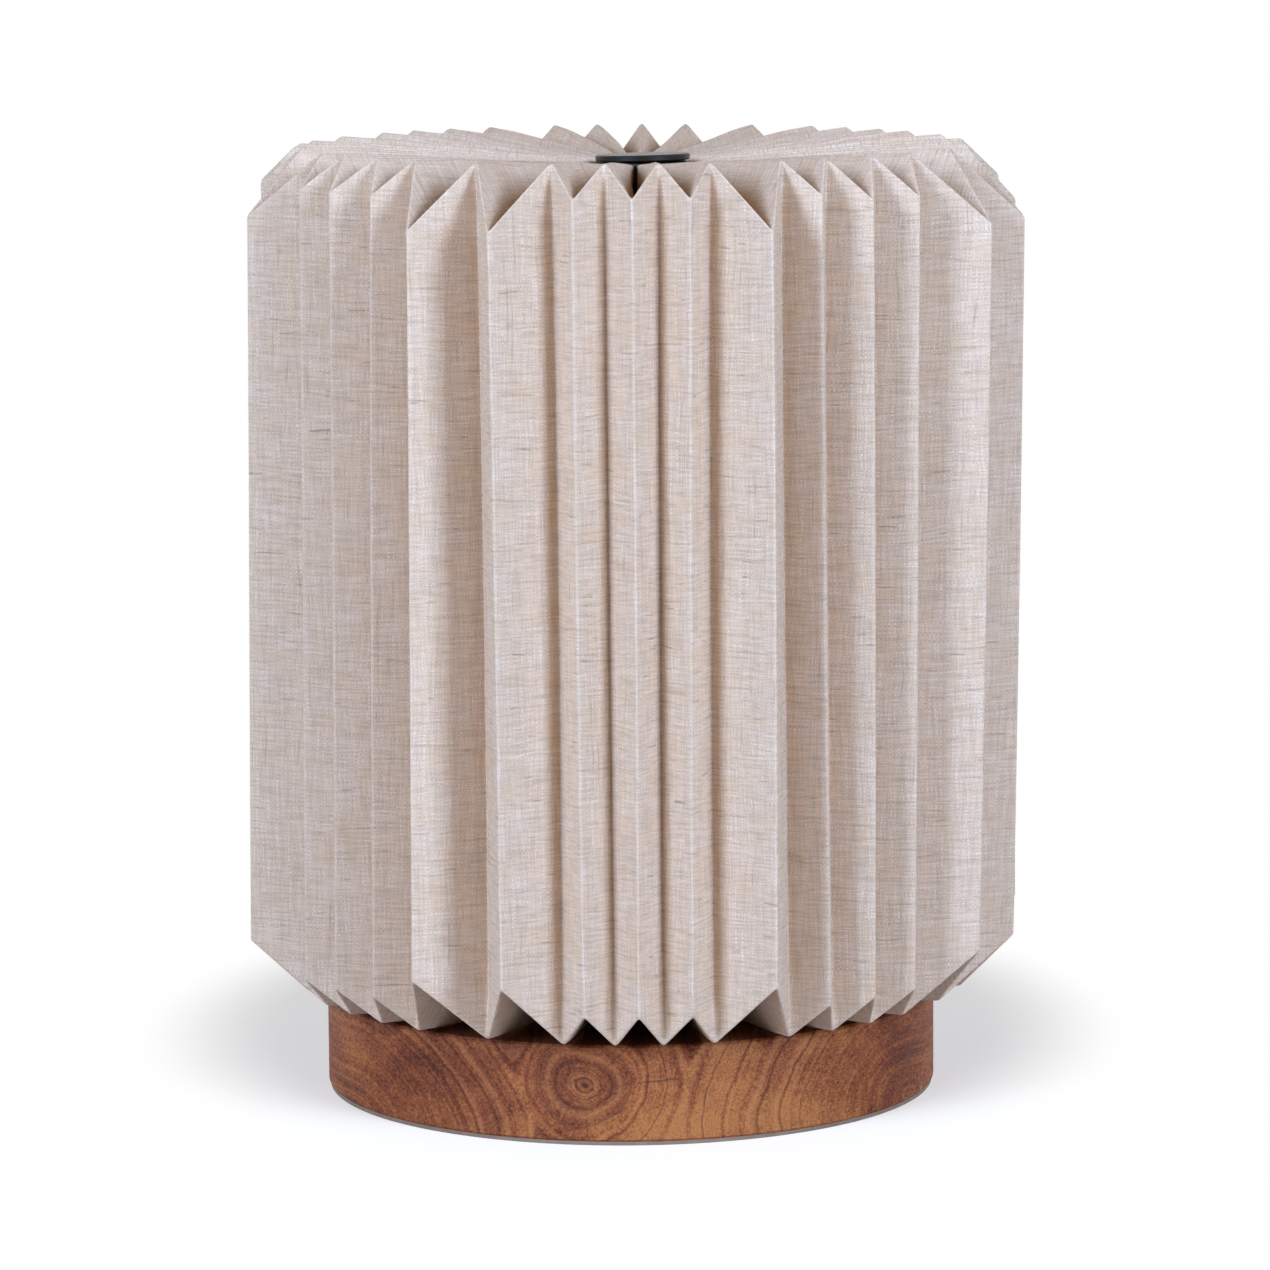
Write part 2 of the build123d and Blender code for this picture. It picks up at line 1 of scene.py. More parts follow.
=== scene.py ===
# %% [markdown]
# # A folded linen lamp, piece by piece
# The real lamp is a closed drum of linen laminate, folded like an accordion and turned inward at its top and foot.
# It stands on a disc of solid wood. A small black disc screws down on its centre, and a harp, a lampholder and a bulb
# stand inside. The sizes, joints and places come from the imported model, which is loaded first and never moved.

# %% Load the frame
import json
import math

import bmesh
import bpy
import numpy as np
from mathutils import Matrix, Vector


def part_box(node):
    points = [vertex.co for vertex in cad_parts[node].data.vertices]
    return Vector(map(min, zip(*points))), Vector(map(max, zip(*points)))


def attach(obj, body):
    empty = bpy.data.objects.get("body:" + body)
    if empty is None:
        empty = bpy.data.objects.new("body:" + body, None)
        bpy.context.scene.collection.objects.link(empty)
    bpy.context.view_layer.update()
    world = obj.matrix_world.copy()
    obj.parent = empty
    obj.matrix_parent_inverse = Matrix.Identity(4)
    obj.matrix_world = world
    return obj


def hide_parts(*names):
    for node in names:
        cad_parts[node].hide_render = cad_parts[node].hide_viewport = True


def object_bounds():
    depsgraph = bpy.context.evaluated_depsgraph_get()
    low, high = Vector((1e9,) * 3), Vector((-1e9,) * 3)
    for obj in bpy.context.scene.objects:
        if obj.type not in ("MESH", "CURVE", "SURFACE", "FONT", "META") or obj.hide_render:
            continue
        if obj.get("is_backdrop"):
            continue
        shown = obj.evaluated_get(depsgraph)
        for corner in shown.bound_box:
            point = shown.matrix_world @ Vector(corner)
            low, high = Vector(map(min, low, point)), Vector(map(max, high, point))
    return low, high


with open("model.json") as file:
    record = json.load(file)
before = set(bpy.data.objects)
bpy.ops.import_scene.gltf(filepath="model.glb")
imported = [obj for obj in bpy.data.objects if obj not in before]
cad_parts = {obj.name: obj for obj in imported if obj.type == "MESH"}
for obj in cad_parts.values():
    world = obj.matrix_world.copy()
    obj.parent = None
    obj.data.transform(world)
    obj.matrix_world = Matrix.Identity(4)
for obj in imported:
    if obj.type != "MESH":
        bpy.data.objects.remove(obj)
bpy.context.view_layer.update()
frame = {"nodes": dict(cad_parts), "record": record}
nodes = frame["nodes"]
MM = 0.001

# %% [markdown]
# ## The camera
# The camera stands 1.8 m in front of the lamp and a little above it, and looks down at it with a long lens, so the
# folds hardly converge. It leans by half a degree, as a camera on a tripod does. It could be aimed by a constraint;
# its place is written out instead, so that every number of the view can be read here.

# %% Set the camera
CAMERA_DISTANCE = 1812 * MM
CAMERA_HEIGHT = 410 * MM
CAMERA_RIGHT = 2.3 * MM
CAMERA_DOWN = math.radians(8.33)
CAMERA_LEAN = math.radians(0.45)
FOCAL_SHARE = 5700 / 1270  # focal length over the width of the picture

camera = bpy.data.objects.new("camera", bpy.data.cameras.new("camera"))
camera.data.sensor_width = 36.0
camera.data.lens = 36.0 * FOCAL_SHARE
camera.data.clip_end = 100.0
look = Vector((0, math.cos(CAMERA_DOWN), -math.sin(CAMERA_DOWN)))
level = Vector((1, 0, 0))
above = level.cross(look)
right = level * math.cos(CAMERA_LEAN) - above * math.sin(CAMERA_LEAN)
up = above * math.cos(CAMERA_LEAN) + level * math.sin(CAMERA_LEAN)
place = Matrix.Translation((CAMERA_RIGHT, -CAMERA_DISTANCE, CAMERA_HEIGHT))
camera.matrix_world = place @ Matrix((right, up, -look)).transposed().to_4x4()
bpy.context.scene.collection.objects.link(camera)
bpy.context.scene.camera = camera
print("lens:", round(camera.data.lens, 1), "mm")

# %% [markdown]
# ## Small helpers for materials
# A colour is written as a hex value, as a paint or fabric card gives it, and one function turns it to the linear
# values that Blender's shaders take. One more function adds a node, sets it and links it. Nodes could be named and
# placed by hand in the editor; in a script, one short call for each keeps the order in which the pattern is made.

# %% Colour and node helpers
def linear(code):
    """An sRGB hex colour as linear RGBA."""
    parts = [int(code[i : i + 2], 16) / 255 for i in (1, 3, 5)]
    return tuple(c / 12.92 if c <= 0.04045 else ((c + 0.055) / 1.055) ** 2.4 for c in parts) + (1.0,)


def add(tree, kind, take=None, stops=(), **given):
    """Adds a node and returns one of its outputs: the one that take names, or the first.

    A name in small letters is a setting. Any other name is an input, by its label or, after an underscore, by its
    place. An output given to an input is linked to it. The stops of a colour ramp are (place, colour or grey).
    """
    made = tree.nodes.new("ShaderNode" + kind)
    for name, value in given.items():
        if name[0].islower():
            setattr(made, name, value)
    for _ in stops[2:]:
        made.color_ramp.elements.new(1.0)
    for i, (place, value) in enumerate(stops):
        made.color_ramp.elements[i].position = place
        made.color_ramp.elements[i].color = linear(value) if isinstance(value, str) else (value,) * 3 + (1.0,)
    used = [socket for socket in made.inputs if socket.enabled]
    for name, value in given.items():
        if name[0].islower():
            continue
        label = name.replace("_", " ")
        socket = used[int(name[1:])] if name[0] == "_" else next(s for s in used if s.name == label)
        if isinstance(value, bpy.types.NodeSocket):
            tree.links.new(value, socket)
        else:
            socket.default_value = linear(value) if isinstance(value, str) else value
    return made.outputs[take] if take else next((s for s in made.outputs if s.enabled), made)


def new_material(name, **values):
    """A material with one Principled shader. Returns the material, its tree and the shader."""
    material = bpy.data.materials.new(name)
    material.use_nodes = True
    shader = material.node_tree.nodes["Principled BSDF"]
    for key, value in values.items():
        shader.inputs[key.replace("_", " ")].default_value = value
    return material, material.node_tree, shader


def paint(piece, material):
    """Gives the whole piece one material."""
    piece.data.materials.clear()
    piece.data.materials.append(material)


print("mid grey is", [round(v, 3) for v in linear("#808080")[:3]])

# %% [markdown]
# ## Floor, background and light
# The lamp was shot as shops shoot: on plain white, between two soft boxes that stand about 40 degrees to either
# side. The boxes are clearly cool and the room in front gives back a warm fill, so a lit panel looks neutral and a
# deep fold looks brown. Behind the lamp hangs a lit sweep, brightest near the floor, which lights its back. The
# floor could be a curve of paper too; a plane is enough here, because it turns white to the camera away from the
# lamp and keeps only the shadow near it. Its faint glow stands for light that a real white room throws back.

# %% Lay the floor
FLOOR_GLOW = 0.235
PAPER, PAPER_SEEN = "#C8C4C0", "#F6E9CF"  # as it lights the lamp, and as the eye sees it under the cool boxes
SHADOW_BEHIND, SHADOW_ACROSS, SHADOW_LONG = 0.08, 0.142, 0.185  # the shadow's middle and half sizes, in metres
FADE_START, FADE_END = 0.82, 1.2  # it fades to white between these shares of its half sizes
FLOOR_HALF = 6.0


def seen_directly(tree):
    """1 where the eye, a reflection or a clear piece sees the white paper, and 0 where only light bounces from it."""
    seen = [add(tree, "LightPath", take=f"Is {kind} Ray") for kind in ("Camera", "Glossy", "Transmission")]
    first = add(tree, "Math", operation="MAXIMUM", _0=seen[0], _1=seen[1])
    return add(tree, "Math", operation="MAXIMUM", _0=first, _1=seen[2])


stage_paper = bpy.data.materials.new("white_stage_paper")
stage_paper.use_nodes = True
tree = stage_paper.node_tree
tree.nodes.clear()
seen = seen_directly(tree)
paper = add(tree, "Mix", data_type="RGBA", Factor=seen, A=PAPER, B=PAPER_SEEN)
lit = add(tree, "BsdfDiffuse", Color=paper)
glow = add(tree, "Emission", Strength=add(tree, "Math", operation="MULTIPLY", _0=seen, _1=FLOOR_GLOW))
near = add(tree, "AddShader", _0=lit, _1=glow)
spot = add(tree, "TexCoord", take="Object")
spot = add(tree, "VectorMath", operation="SUBTRACT", _0=spot, _1=(0, SHADOW_BEHIND, 0))
spot = add(tree, "VectorMath", operation="DIVIDE", _0=spot, _1=(SHADOW_ACROSS, SHADOW_LONG, 1.0))
reach = add(tree, "VectorMath", take="Value", operation="LENGTH", _0=spot)
away = add(tree, "MapRange", interpolation_type="SMOOTHSTEP", Value=reach, From_Min=FADE_START, From_Max=FADE_END)
away = add(tree, "Math", operation="MULTIPLY", _0=away, _1=seen)
add(tree, "OutputMaterial", Surface=add(tree, "MixShader", _0=away, _1=near, _2=add(tree, "Emission", Strength=1.0)))

floor_mesh = bpy.data.meshes.new("floor")
corners = [(x * FLOOR_HALF, y * FLOOR_HALF, 0.0) for x, y in ((-1, -1), (1, -1), (1, 1), (-1, 1))]
floor_mesh.from_pydata(corners, [], [(0, 1, 2, 3)])
floor = bpy.data.objects.new("floor", floor_mesh)
bpy.context.scene.collection.objects.link(floor)
paint(floor, stage_paper)
floor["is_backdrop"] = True
print("floor:", 2 * FLOOR_HALF, "m across")

# %% Set up the soft boxes
BOX_COLOUR = "#B2CFFF"
BOX_ASIDE, BOX_UP = 42, 24  # degrees to either side of the front, and up
BOX_WIDTH, BOX_HEIGHT = 0.9, 1.3
AIMED_AT = Vector((0, 0, 160 * MM))


def soft_box(name, azimuth, elevation, width, height, strength, distance=3.0):
    """A rectangular lamp that faces the shade; strength is how brightly it lights a white card that faces it."""
    light = bpy.data.lights.new(name, "AREA")
    light.shape = "RECTANGLE"
    light.size, light.size_y = width, height
    light.color = linear(BOX_COLOUR)[:3]
    light.energy = strength * math.pi**2 * distance**2
    a, e = math.radians(azimuth), math.radians(elevation)
    back = Vector((math.sin(a) * math.cos(e), -math.cos(a) * math.cos(e), math.sin(e)))
    made = bpy.data.objects.new(name, light)
    made.location = AIMED_AT + back * distance
    made.rotation_mode = "QUATERNION"
    made.rotation_quaternion = back.to_track_quat("Z", "Y")
    bpy.context.scene.collection.objects.link(made)


soft_box("soft_box_left", -BOX_ASIDE, BOX_UP, BOX_WIDTH, BOX_HEIGHT, 1.40)
soft_box("soft_box_right", BOX_ASIDE, BOX_UP, BOX_WIDTH, BOX_HEIGHT, 1.38)
print("two soft boxes")

# %% Fill from the room
FRONT_COLOUR, BACK_COLOUR = "#FFC76A", "#E3EDFF"
FILL_FRONT, FILL_BACK = 0.21, 0.19
TURN = (-0.2, 0.9)  # how far back a direction points where the front's fill starts to change, and where it ends
LOW_FRONT, LOW_BACK = 0.35, 24.0  # times as much light from near the floor: a dark room in front, the sweep behind
LOW_TURN = (0.3, 0.95)
LOW_BAND = 0.35  # a direction that climbs more steeply than this is no longer low

world = bpy.data.worlds.new("white_surround")
bpy.context.scene.world = world
world.use_nodes = True
tree = world.node_tree
tree.nodes.clear()
seen = seen_directly(tree)
way = add(tree, "TexCoord", take="Generated")
behind, height = (add(tree, "SeparateXYZ", take=axis, Vector=way) for axis in "YZ")
share = add(tree, "MapRange", Value=behind, From_Min=TURN[0], From_Max=TURN[1])
fill = add(tree, "Mix", Factor=share, A=FILL_FRONT, B=FILL_BACK)
low = {"From_Min": LOW_TURN[0], "From_Max": LOW_TURN[1], "To_Min": LOW_FRONT, "To_Max": LOW_BACK}
low_share = add(tree, "MapRange", Value=behind, **low)
higher = add(tree, "MapRange", Value=height, From_Min=0.0, From_Max=LOW_BAND, To_Min=low_share)
fill = add(tree, "Math", operation="MULTIPLY", _0=fill, _1=higher)
tint = add(tree, "Mix", data_type="RGBA", Factor=share, A=FRONT_COLOUR, B=BACK_COLOUR)
colour = add(tree, "Mix", data_type="RGBA", Factor=seen, A=tint, B="#FFFFFF")
surround = add(tree, "Background", Color=colour, Strength=add(tree, "Mix", Factor=seen, A=fill, B=1.0))
add(tree, "OutputWorld", Surface=surround)
bpy.context.scene.view_settings.view_transform = "Standard"
print("fill:", FILL_FRONT, "in front and", FILL_BACK, "behind")

# %% [markdown]
# ## The folded sheet
# The shade is one sheet of linen bonded to a stiff backing. It is scored and folded into 36 pleats, 13 broad and 23
# narrow, and a reverse fold at 45 degrees turns each pleat inward at the top and at the foot. Cloth simulation suits
# soft fabric; here the folds are sharp and regular, so the sheet is built from its fold lines. Every fold line runs
# from the hub out to the rim, down the wall and in to the hoop. The panels are spanned between neighbouring lines,
# and every corner is eased by a short parabola, which is how a scored laminate bends.

# %% Sizes of the sheet, in millimetres
PLEAT_ORDER = "bnnnbbnnnbnnnbbnnbbnnnbbnnnbnnnbbnnn"  # b is a broad pleat, n a narrow one
FRONT_PLEAT = 7
BROAD_SHARE = 1.52
FRONT_SPREAD = 0.045
INNER_FOLD_RADIUS = 106.0
REACH = {"b": 20.4, "n": 11.1}
EASED_REACH = 0.4  # what the rounding takes off a ridge is added to it
SHADE_FOOT, SHADE_TOP = 32.5, 303.5
HUB_END, HUB_END_HEIGHT = 14.3, 296.6
HOOP_END, HOOP_END_HEIGHT = 52.0, 31.8
SHADE_SHIFT, CROWN_SHIFT = 2.3, 5.9
SHEET_DEPTH = 1.5
RIDGE_EASE, GROOVE_EASE, CORNER_EASE = 1.2, 0.5, 1.6  # half the width of each rounded bend
TIP_EASE = 1.8  # a groove turns softer where it crosses the rim
HUB_CROWDING, CROWDING_FADE = math.radians(-9.6), 6  # the folds crowd to the left round the hub, and only there
FOLD_THICKNESS = 0.6  # beside the hub the folds stand so close that their own thickness shows
PINCH_DEPTH, PINCH_WIDTH = 1.8, 7.0  # panels curve into each groove
TOP_ROWS, WALL_ROWS, FOOT_ROWS = 14, 18, 10


def around(shift, radius, azimuth, z):
    """Points round an axis that stands shift to the right; azimuth 0 is the front."""
    level = 0 * azimuth + 0 * radius
    return np.stack([shift + radius * np.sin(azimuth), -radius * np.cos(azimuth), z + level], axis=-1)


def pleats():
    """(azimuth of the start, of the ridge and of the end, reach) of each pleat."""
    share = {"n": 1.0, "b": BROAD_SHARE}
    unit = 2 * math.pi / sum(share[kind] for kind in PLEAT_ORDER)
    before = sum(share[kind] for kind in PLEAT_ORDER[:FRONT_PLEAT]) + share[PLEAT_ORDER[FRONT_PLEAT]] / 2
    start, found = -before * unit, []
    for kind in PLEAT_ORDER:
        end = start + share[kind] * unit
        azimuths = [a + FRONT_SPREAD * math.sin(a) for a in (start, (start + end) / 2, end)]
        found.append(azimuths + [REACH[kind] + EASED_REACH])
        start = end
    return found


def stations():
    """Where each row of the sheet lies: which straight run, how far along it, and the row's place near a corner."""
    near = [CORNER_EASE * share for share in (-1, -0.5, 0, 0.5, 1)]
    rows = [("top", s, None) for s in np.linspace(0, 1, TOP_ROWS + 1)[:-1] ** 0.9]
    rows += [("top corner", None, d) for d in near]
    rows += [("wall", s, None) for s in np.linspace(0, 1, WALL_ROWS + 2)[1:-1]]
    rows += [("foot corner", None, d) for d in near]
    return rows + [("foot", s, None) for s in np.linspace(0, 1, FOOT_ROWS + 1)[1:]]


all_pleats = pleats()
print("pleats:", len(all_pleats), "rows:", len(stations()))

# %% [markdown]
# ### What the hand adds
# A sheet this long is scored and folded by hand, and no fold falls quite where it was drawn. The ridges at the front
# follow the real lamp, each a millimetre or two to one side; those out of sight stray by a seeded random amount.

# %% How far each ridge strays
FRONT_STRAYS = [  # to the right in mm, at the top and at the foot, of the front ridges from left to right
    (0.5, -2.0), (0.5, -1.5), (1.0, -1.0), (2.5, -0.5), (1.5, 0.5),
    (0.0, 1.5), (0.0, 1.5), (0.0, 0.5), (-0.5, -1.0), (-1.0, -0.5),
    (-3.0, -1.0), (-1.5, -1.5), (0.5, -1.5), (2.0, -1.5), (2.0, -1.0),
]
RIDGE_RISE, RIGHT_DROP, GROOVE_DROP = 0.6, 1.5, 0.1  # how much the rim's corners stand up or sink
DROPPED = 4  # so many of the front ridges, at the far right, sink
BACK_STRAY, WOBBLE = 1.0, 0.2
hand = np.random.default_rng(36)


def strays():
    """(to the right at the top, at the foot, up at the rim) of each fold in turn: a groove, then its ridge."""
    count, half = len(PLEAT_ORDER), len(FRONT_STRAYS) // 2
    ridges = []
    for i in range(count):
        from_front = (i - FRONT_PLEAT + count // 2) % count - count // 2
        if abs(from_front) <= half:
            rise = -RIGHT_DROP if from_front > half - DROPPED else RIDGE_RISE
            ridges.append((*FRONT_STRAYS[from_front + half], rise))
        else:
            ridges.append((*hand.uniform(-BACK_STRAY, BACK_STRAY, 2), hand.uniform(-RIDGE_RISE, RIDGE_RISE)))
    ridges, found = np.array(ridges), []
    for i in range(len(ridges)):
        groove = (ridges[i - 1] + ridges[i]) / 2
        found += [(groove[0], groove[1], -GROOVE_DROP), ridges[i]]
    return np.array(found)


def stray_shares():
    """How much of the stray at the top, at the foot and at the rim each row takes."""
    shares = []
    for run, s, _ in stations():
        down = {"top": s, "top corner": 0.0, "wall": s, "foot corner": 1.0, "foot": s}[run]
        out = {"top": s, "foot": 1 - (s or 0)}.get(run, 1.0)
        top = out * (1.0 if run.startswith("top") else 0.0 if run.startswith("foot") else 1 - down)
        foot = out * (1.0 if run.startswith("foot") else 0.0 if run.startswith("top") else down)
        rim = {"top": (s or 0) ** 2, "top corner": 1.0, "wall": (1 - (s or 0)) ** 3}.get(run, 0.0)
        shares.append((top, foot, rim))
    return np.array(shares)


fold_strays, row_shares = strays(), stray_shares()
print("largest stray:", np.abs(fold_strays).max(), "mm")

# %% Fold lines
def groove_depth(reach, half_angle, radius):
    """How deep two panels fold once they have run in to a smaller radius; an inner fold has none."""
    if not reach:
        return 0.0 * radius
    width = math.hypot(reach, INNER_FOLD_RADIUS * half_angle)
    return np.sqrt(width**2 - (np.minimum(radius, INNER_FOLD_RADIUS) * half_angle) ** 2)


def inward(share, azimuth, reach, half_angle, end_shift, end_radius, end_z, rim_z, up):
    """A point on the run between the hub or hoop (share 0) and the rim corner (share 1)."""
    rim = INNER_FOLD_RADIUS + reach
    radius = end_radius + (rim - end_radius) * share
    z = end_z + (rim_z - end_z) * share
    shift = end_shift + (SHADE_SHIFT - end_shift) * share
    azimuth = azimuth + (HUB_CROWDING * math.cos(azimuth) * (1 - share) ** CROWDING_FADE if up > 0 else 0.0)
    return around(shift, radius, azimuth, z - up * groove_depth(reach, half_angle, radius))


def fold_line(azimuth, reach, half_angle, inset):
    """One fold as a row of points from the hub to the hoop, on the sheet's outer face or that far inside it."""
    rim = INNER_FOLD_RADIUS + reach - inset
    high = around(SHADE_SHIFT, rim, azimuth, SHADE_TOP - reach - inset)
    low = around(SHADE_SHIFT, rim, azimuth, SHADE_FOOT + reach + inset)
    down = (low - high) / np.linalg.norm(low - high)
    top_run = (CROWN_SHIFT, HUB_END, HUB_END_HEIGHT - inset, SHADE_TOP - inset, 1)
    foot_run = (SHADE_SHIFT, HOOP_END, HOOP_END_HEIGHT + inset, SHADE_FOOT + inset, -1)
    points = []
    for run, s, d in stations():
        if run == "wall":
            points.append(high + (low - high) * s)
            continue
        ends, corner = (top_run, high) if run.startswith("top") else (foot_run, low)
        kept = 1 - 1.5 * CORNER_EASE / (rim - ends[1])
        if d is None:
            out = s * kept if run == "top" else kept * (1 - s)
            points.append(inward(out, azimuth, reach, half_angle, *ends))
        else:
            inside = inward(np.float64(1 - 2 * CORNER_EASE / (rim - ends[1])), azimuth, reach, half_angle, *ends)
            towards = (corner - inside) / np.linalg.norm(corner - inside)
            before, after = (towards, down) if run == "top corner" else (down, -towards)
            bend = after * (CORNER_EASE + d) ** 2 - before * (CORNER_EASE - d) ** 2
            points.append(corner + bend / (4 * CORNER_EASE))
    return np.array(points)


broad = all_pleats[0]
print("broad panel:", round(math.hypot(REACH["b"], INNER_FOLD_RADIUS * (broad[2] - broad[0]) / 2), 1), "mm wide")

# %% Span the panels
COLUMNS = [-4.6, -2.6, -1.2, -0.5, 0.0, 0.5, 1.2, 2.6, 4.6]  # distances from a fold, in mm
EDGE, SPREAD_FADE = 0.5, 10  # mm from a fold: where its thickness is reached, and where it would be gone


def folds(inset):
    """Every fold line in turn round the shade, with how far across the flat sheet each lies."""
    lines, across, at = [], [], 0.0
    for start, middle, end, reach in all_pleats:
        half = (end - start) / 2
        width = math.hypot(reach, INNER_FOLD_RADIUS * half)
        lines += [fold_line(start, 0.0, 0.0, inset), fold_line(middle, reach, half, inset)]
        across += [at, at + width]
        at += 2 * width
    lines = np.array(lines)
    lines[:, :, 0] += fold_strays[:, 0:1] * row_shares[:, 0] + fold_strays[:, 1:2] * row_shares[:, 1]
    lines[:, :, 2] += fold_strays[:, 2:3] * row_shares[:, 2]
    waves = np.linspace(0, 3 * math.pi, lines.shape[1]) + wobble_starts[:, None]
    lines[:, :, 0] += WOBBLE * np.sin(waves) * row_shares[:, :2].sum(axis=1)
    return lines, np.array(across), at


def pinch_rows():
    """How far each row is drawn in at a groove: 0 at the corners and full away from them."""
    rows = stations()
    wall = np.array([math.sin(math.pi * s) ** 0.3 if run == "wall" else 0.0 for run, s, d in rows])
    top = np.array([min(1.0, 4 * (1 - s)) if run == "top" else 0.0 for run, s, d in rows])
    foot = np.array([min(1.0, 4 * s) if run == "foot" else 0.0 for run, s, d in rows])
    return wall, top, foot


def groove_eases():
    """Half the width of a groove's bend at each row."""
    found = []
    for run, s, d in stations():
        far = {"wall": 12 * min(s or 0, 1 - (s or 0)), "top": 6 * (1 - (s or 0)), "foot": 6 * (s or 0)}.get(run, 0.0)
        found.append(GROOVE_EASE + (TIP_EASE - GROOVE_EASE) * max(0.0, 1 - far))
    return np.array(found)[:, None]


def layer(inset):
    """The sheet's points as an array of columns by rows by 3, and each column's place across the flat sheet."""
    lines, across, total = folds(inset)
    count = len(lines)
    wall, top, foot = pinch_rows()
    axis = np.array([SHADE_SHIFT, 0.0, 0.0])
    upward = np.array([0.0, 0.0, 1.0])
    eases = groove_eases()
    beside_hub = np.array([max(0.0, 1 - 3 * s) if run == "top" else 0.0 for run, s, d in stations()])[:, None]
    points, places = [], []
    for i in range(count):
        line, after, before = lines[i], lines[(i + 1) % count], lines[i - 1]
        ahead, behind = (across[(i + 1) % count] - across[i]) % total, (across[i] - across[i - 1]) % total
        ridge = i % 2 == 1
        ease = RIDGE_EASE + 0 * eases if ridge else eases
        slope_on, slope_back = (after - line) / ahead, (line - before) / behind
        inward_way = (axis - line) * [1, 1, 0]
        inward_way /= np.linalg.norm(inward_way, axis=1)[:, None]
        for d in COLUMNS:
            bent = line + (slope_on * (ease + d) ** 2 - slope_back * (ease - d) ** 2) / (4 * ease)
            straight = line + (slope_on if d > 0 else slope_back) * d
            point = np.where(abs(d) < ease, bent, straight)
            draw = PINCH_DEPTH * max(0.0, 1 - abs(d) / PINCH_WIDTH) ** 2
            if ridge:
                point = point + draw * (foot - top)[:, None] * upward
            else:
                sideways = np.stack([inward_way[:, 1], -inward_way[:, 0], 0 * inward_way[:, 0]], axis=1)
                spread = FOLD_THICKNESS * np.clip(d / EDGE, -1, 1) * (1 - abs(d) / SPREAD_FADE)
                point = point + draw * wall[:, None] * inward_way + spread * beside_hub * sideways
            points.append(point)
            places.append(across[i] + d)
        points.append(line + slope_on * ahead / 2)
        places.append(across[i] + ahead / 2)
    return np.array(points), np.array(places), total


wobble_starts = hand.uniform(0, 2 * math.pi, 2 * len(all_pleats))
outer, places, sheet_width = layer(0.0)
inner, _, _ = layer(SHEET_DEPTH)
steps = np.linalg.norm(np.diff(outer, axis=1), axis=2)
heights = np.concatenate([np.zeros((len(outer), 1)), np.cumsum(steps, axis=1)], axis=1)
middle_row = [i for i, (run, share, near) in enumerate(stations()) if run == "wall"][WALL_ROWS // 2]
sheet_height = heights[:, -1].mean()
heights -= heights[:, middle_row : middle_row + 1]
print("flat sheet:", round(sheet_width), "x", round(sheet_height), "mm;", *outer.shape[:2], "columns and rows")

# %% Build the sheet's mesh
def sheet_mesh(name):
    """Both faces of the sheet and the strips that close it at the hub and at the hoop."""
    count, rows = outer.shape[:2]
    corners = np.concatenate([outer.reshape(-1, 3), inner.reshape(-1, 3)]) * MM
    index = np.arange(count * rows).reshape(count, rows)
    behind = count * rows
    faces, spots = [], []
    for i in range(count):
        j = (i + 1) % count
        for k in range(rows - 1):
            quad = [(i, k), (j, k), (j, k + 1), (i, k + 1)]
            faces.append([int(index[p]) for p in quad[::-1]])
            faces.append([int(index[p]) + behind for p in quad])
            spots += [(i, quad[::-1]), (i, quad)]
        for k, way in ((0, 1), (rows - 1, -1)):
            a, b = int(index[i, k]), int(index[j, k])
            faces.append([a, b, b + behind, a + behind][::way])
            spots.append((i, [(i, k), (j, k), (j, k), (i, k)][::way]))
    mesh = bpy.data.meshes.new(name)
    mesh.from_pydata(corners.tolist(), [], faces)
    spread = [
        ((places[a] + (sheet_width if a < i else 0.0)) * MM, heights[a, k] * MM) for i, quad in spots for a, k in quad
    ]
    mesh.uv_layers.new(name="flat_sheet").uv.foreach_set("vector", np.array(spread, np.float32).ravel())
    mesh.polygons.foreach_set("use_smooth", [True] * len(mesh.polygons))
    mesh.validate()
    return mesh


shade = bpy.data.objects.new("folded_linen_sheet", sheet_mesh("folded_linen_sheet"))
bpy.context.scene.collection.objects.link(shade)
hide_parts("pleated_shade")
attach(shade, "shade")
print("sheet faces:", len(shade.data.polygons))

# %% [markdown]
# ## Linen
# The cover is plain-woven linen, glued flat to its backing. Flax is spun by length, not evened out as cotton is, so
# its yarn swells and thins. Thin dark slubs run along single threads, mostly along the weft, which lies level round
# the lamp, and the unbleached flax is greyer in one place and more tan in the next. Threads could be modelled one by
# one, but thousands of them would drown the folds, so they are drawn on the flat sheet and run on across every fold.
# The colours are written tan: the cool boxes turn a lit panel lilac-grey, and light that has gone from cloth to
# cloth in a deep fold comes out brown, as it does on the real lamp.

# %% Lay out the threads
THREAD = 0.63 * MM  # a little coarser than real linen of this weight, so that it shows at this distance
SWAY, SWAY_SPAN = 2.4, 16  # the threads wander by about this many mm, over so many mm
CROWD, CROWD_RATE = 1.6, 0.37  # they lie closer in places: by how many threads, and how often
WEFT_START = 40.0  # so that the weft isn't crowded where the warp is
ROW_APART = 7.31  # keeps one thread's tone clear of the next one's


def thread_places(tree, place):
    """How many threads across and along the sheet a point lies: two numbers that grow by 1 a thread."""
    wide = 1 / (SWAY_SPAN * MM)
    sway = add(tree, "TexNoise", take="Color", noise_dimensions="2D", Vector=place, Scale=wide, Detail=2.0)
    sway = add(tree, "VectorMath", operation="SUBTRACT", _0=sway, _1=(0.5, 0.5, 0.5))
    spot = add(tree, "VectorMath", operation="MULTIPLY_ADD", _0=sway, _1=(SWAY * MM,) * 3, _2=place)
    found = []
    for axis, start in (("X", 0.0), ("Y", WEFT_START)):
        count = add(tree, "Math", operation="DIVIDE", _0=add(tree, "SeparateXYZ", take=axis, Vector=spot), _1=THREAD)
        shifted = add(tree, "Math", operation="ADD", _0=count, _1=start)
        uneven = add(tree, "TexNoise", noise_dimensions="1D", W=shifted, Scale=CROWD_RATE, Detail=1.0)
        found.append(add(tree, "Math", operation="MULTIPLY_ADD", _0=uneven, _1=CROWD, _2=shifted))
    return found


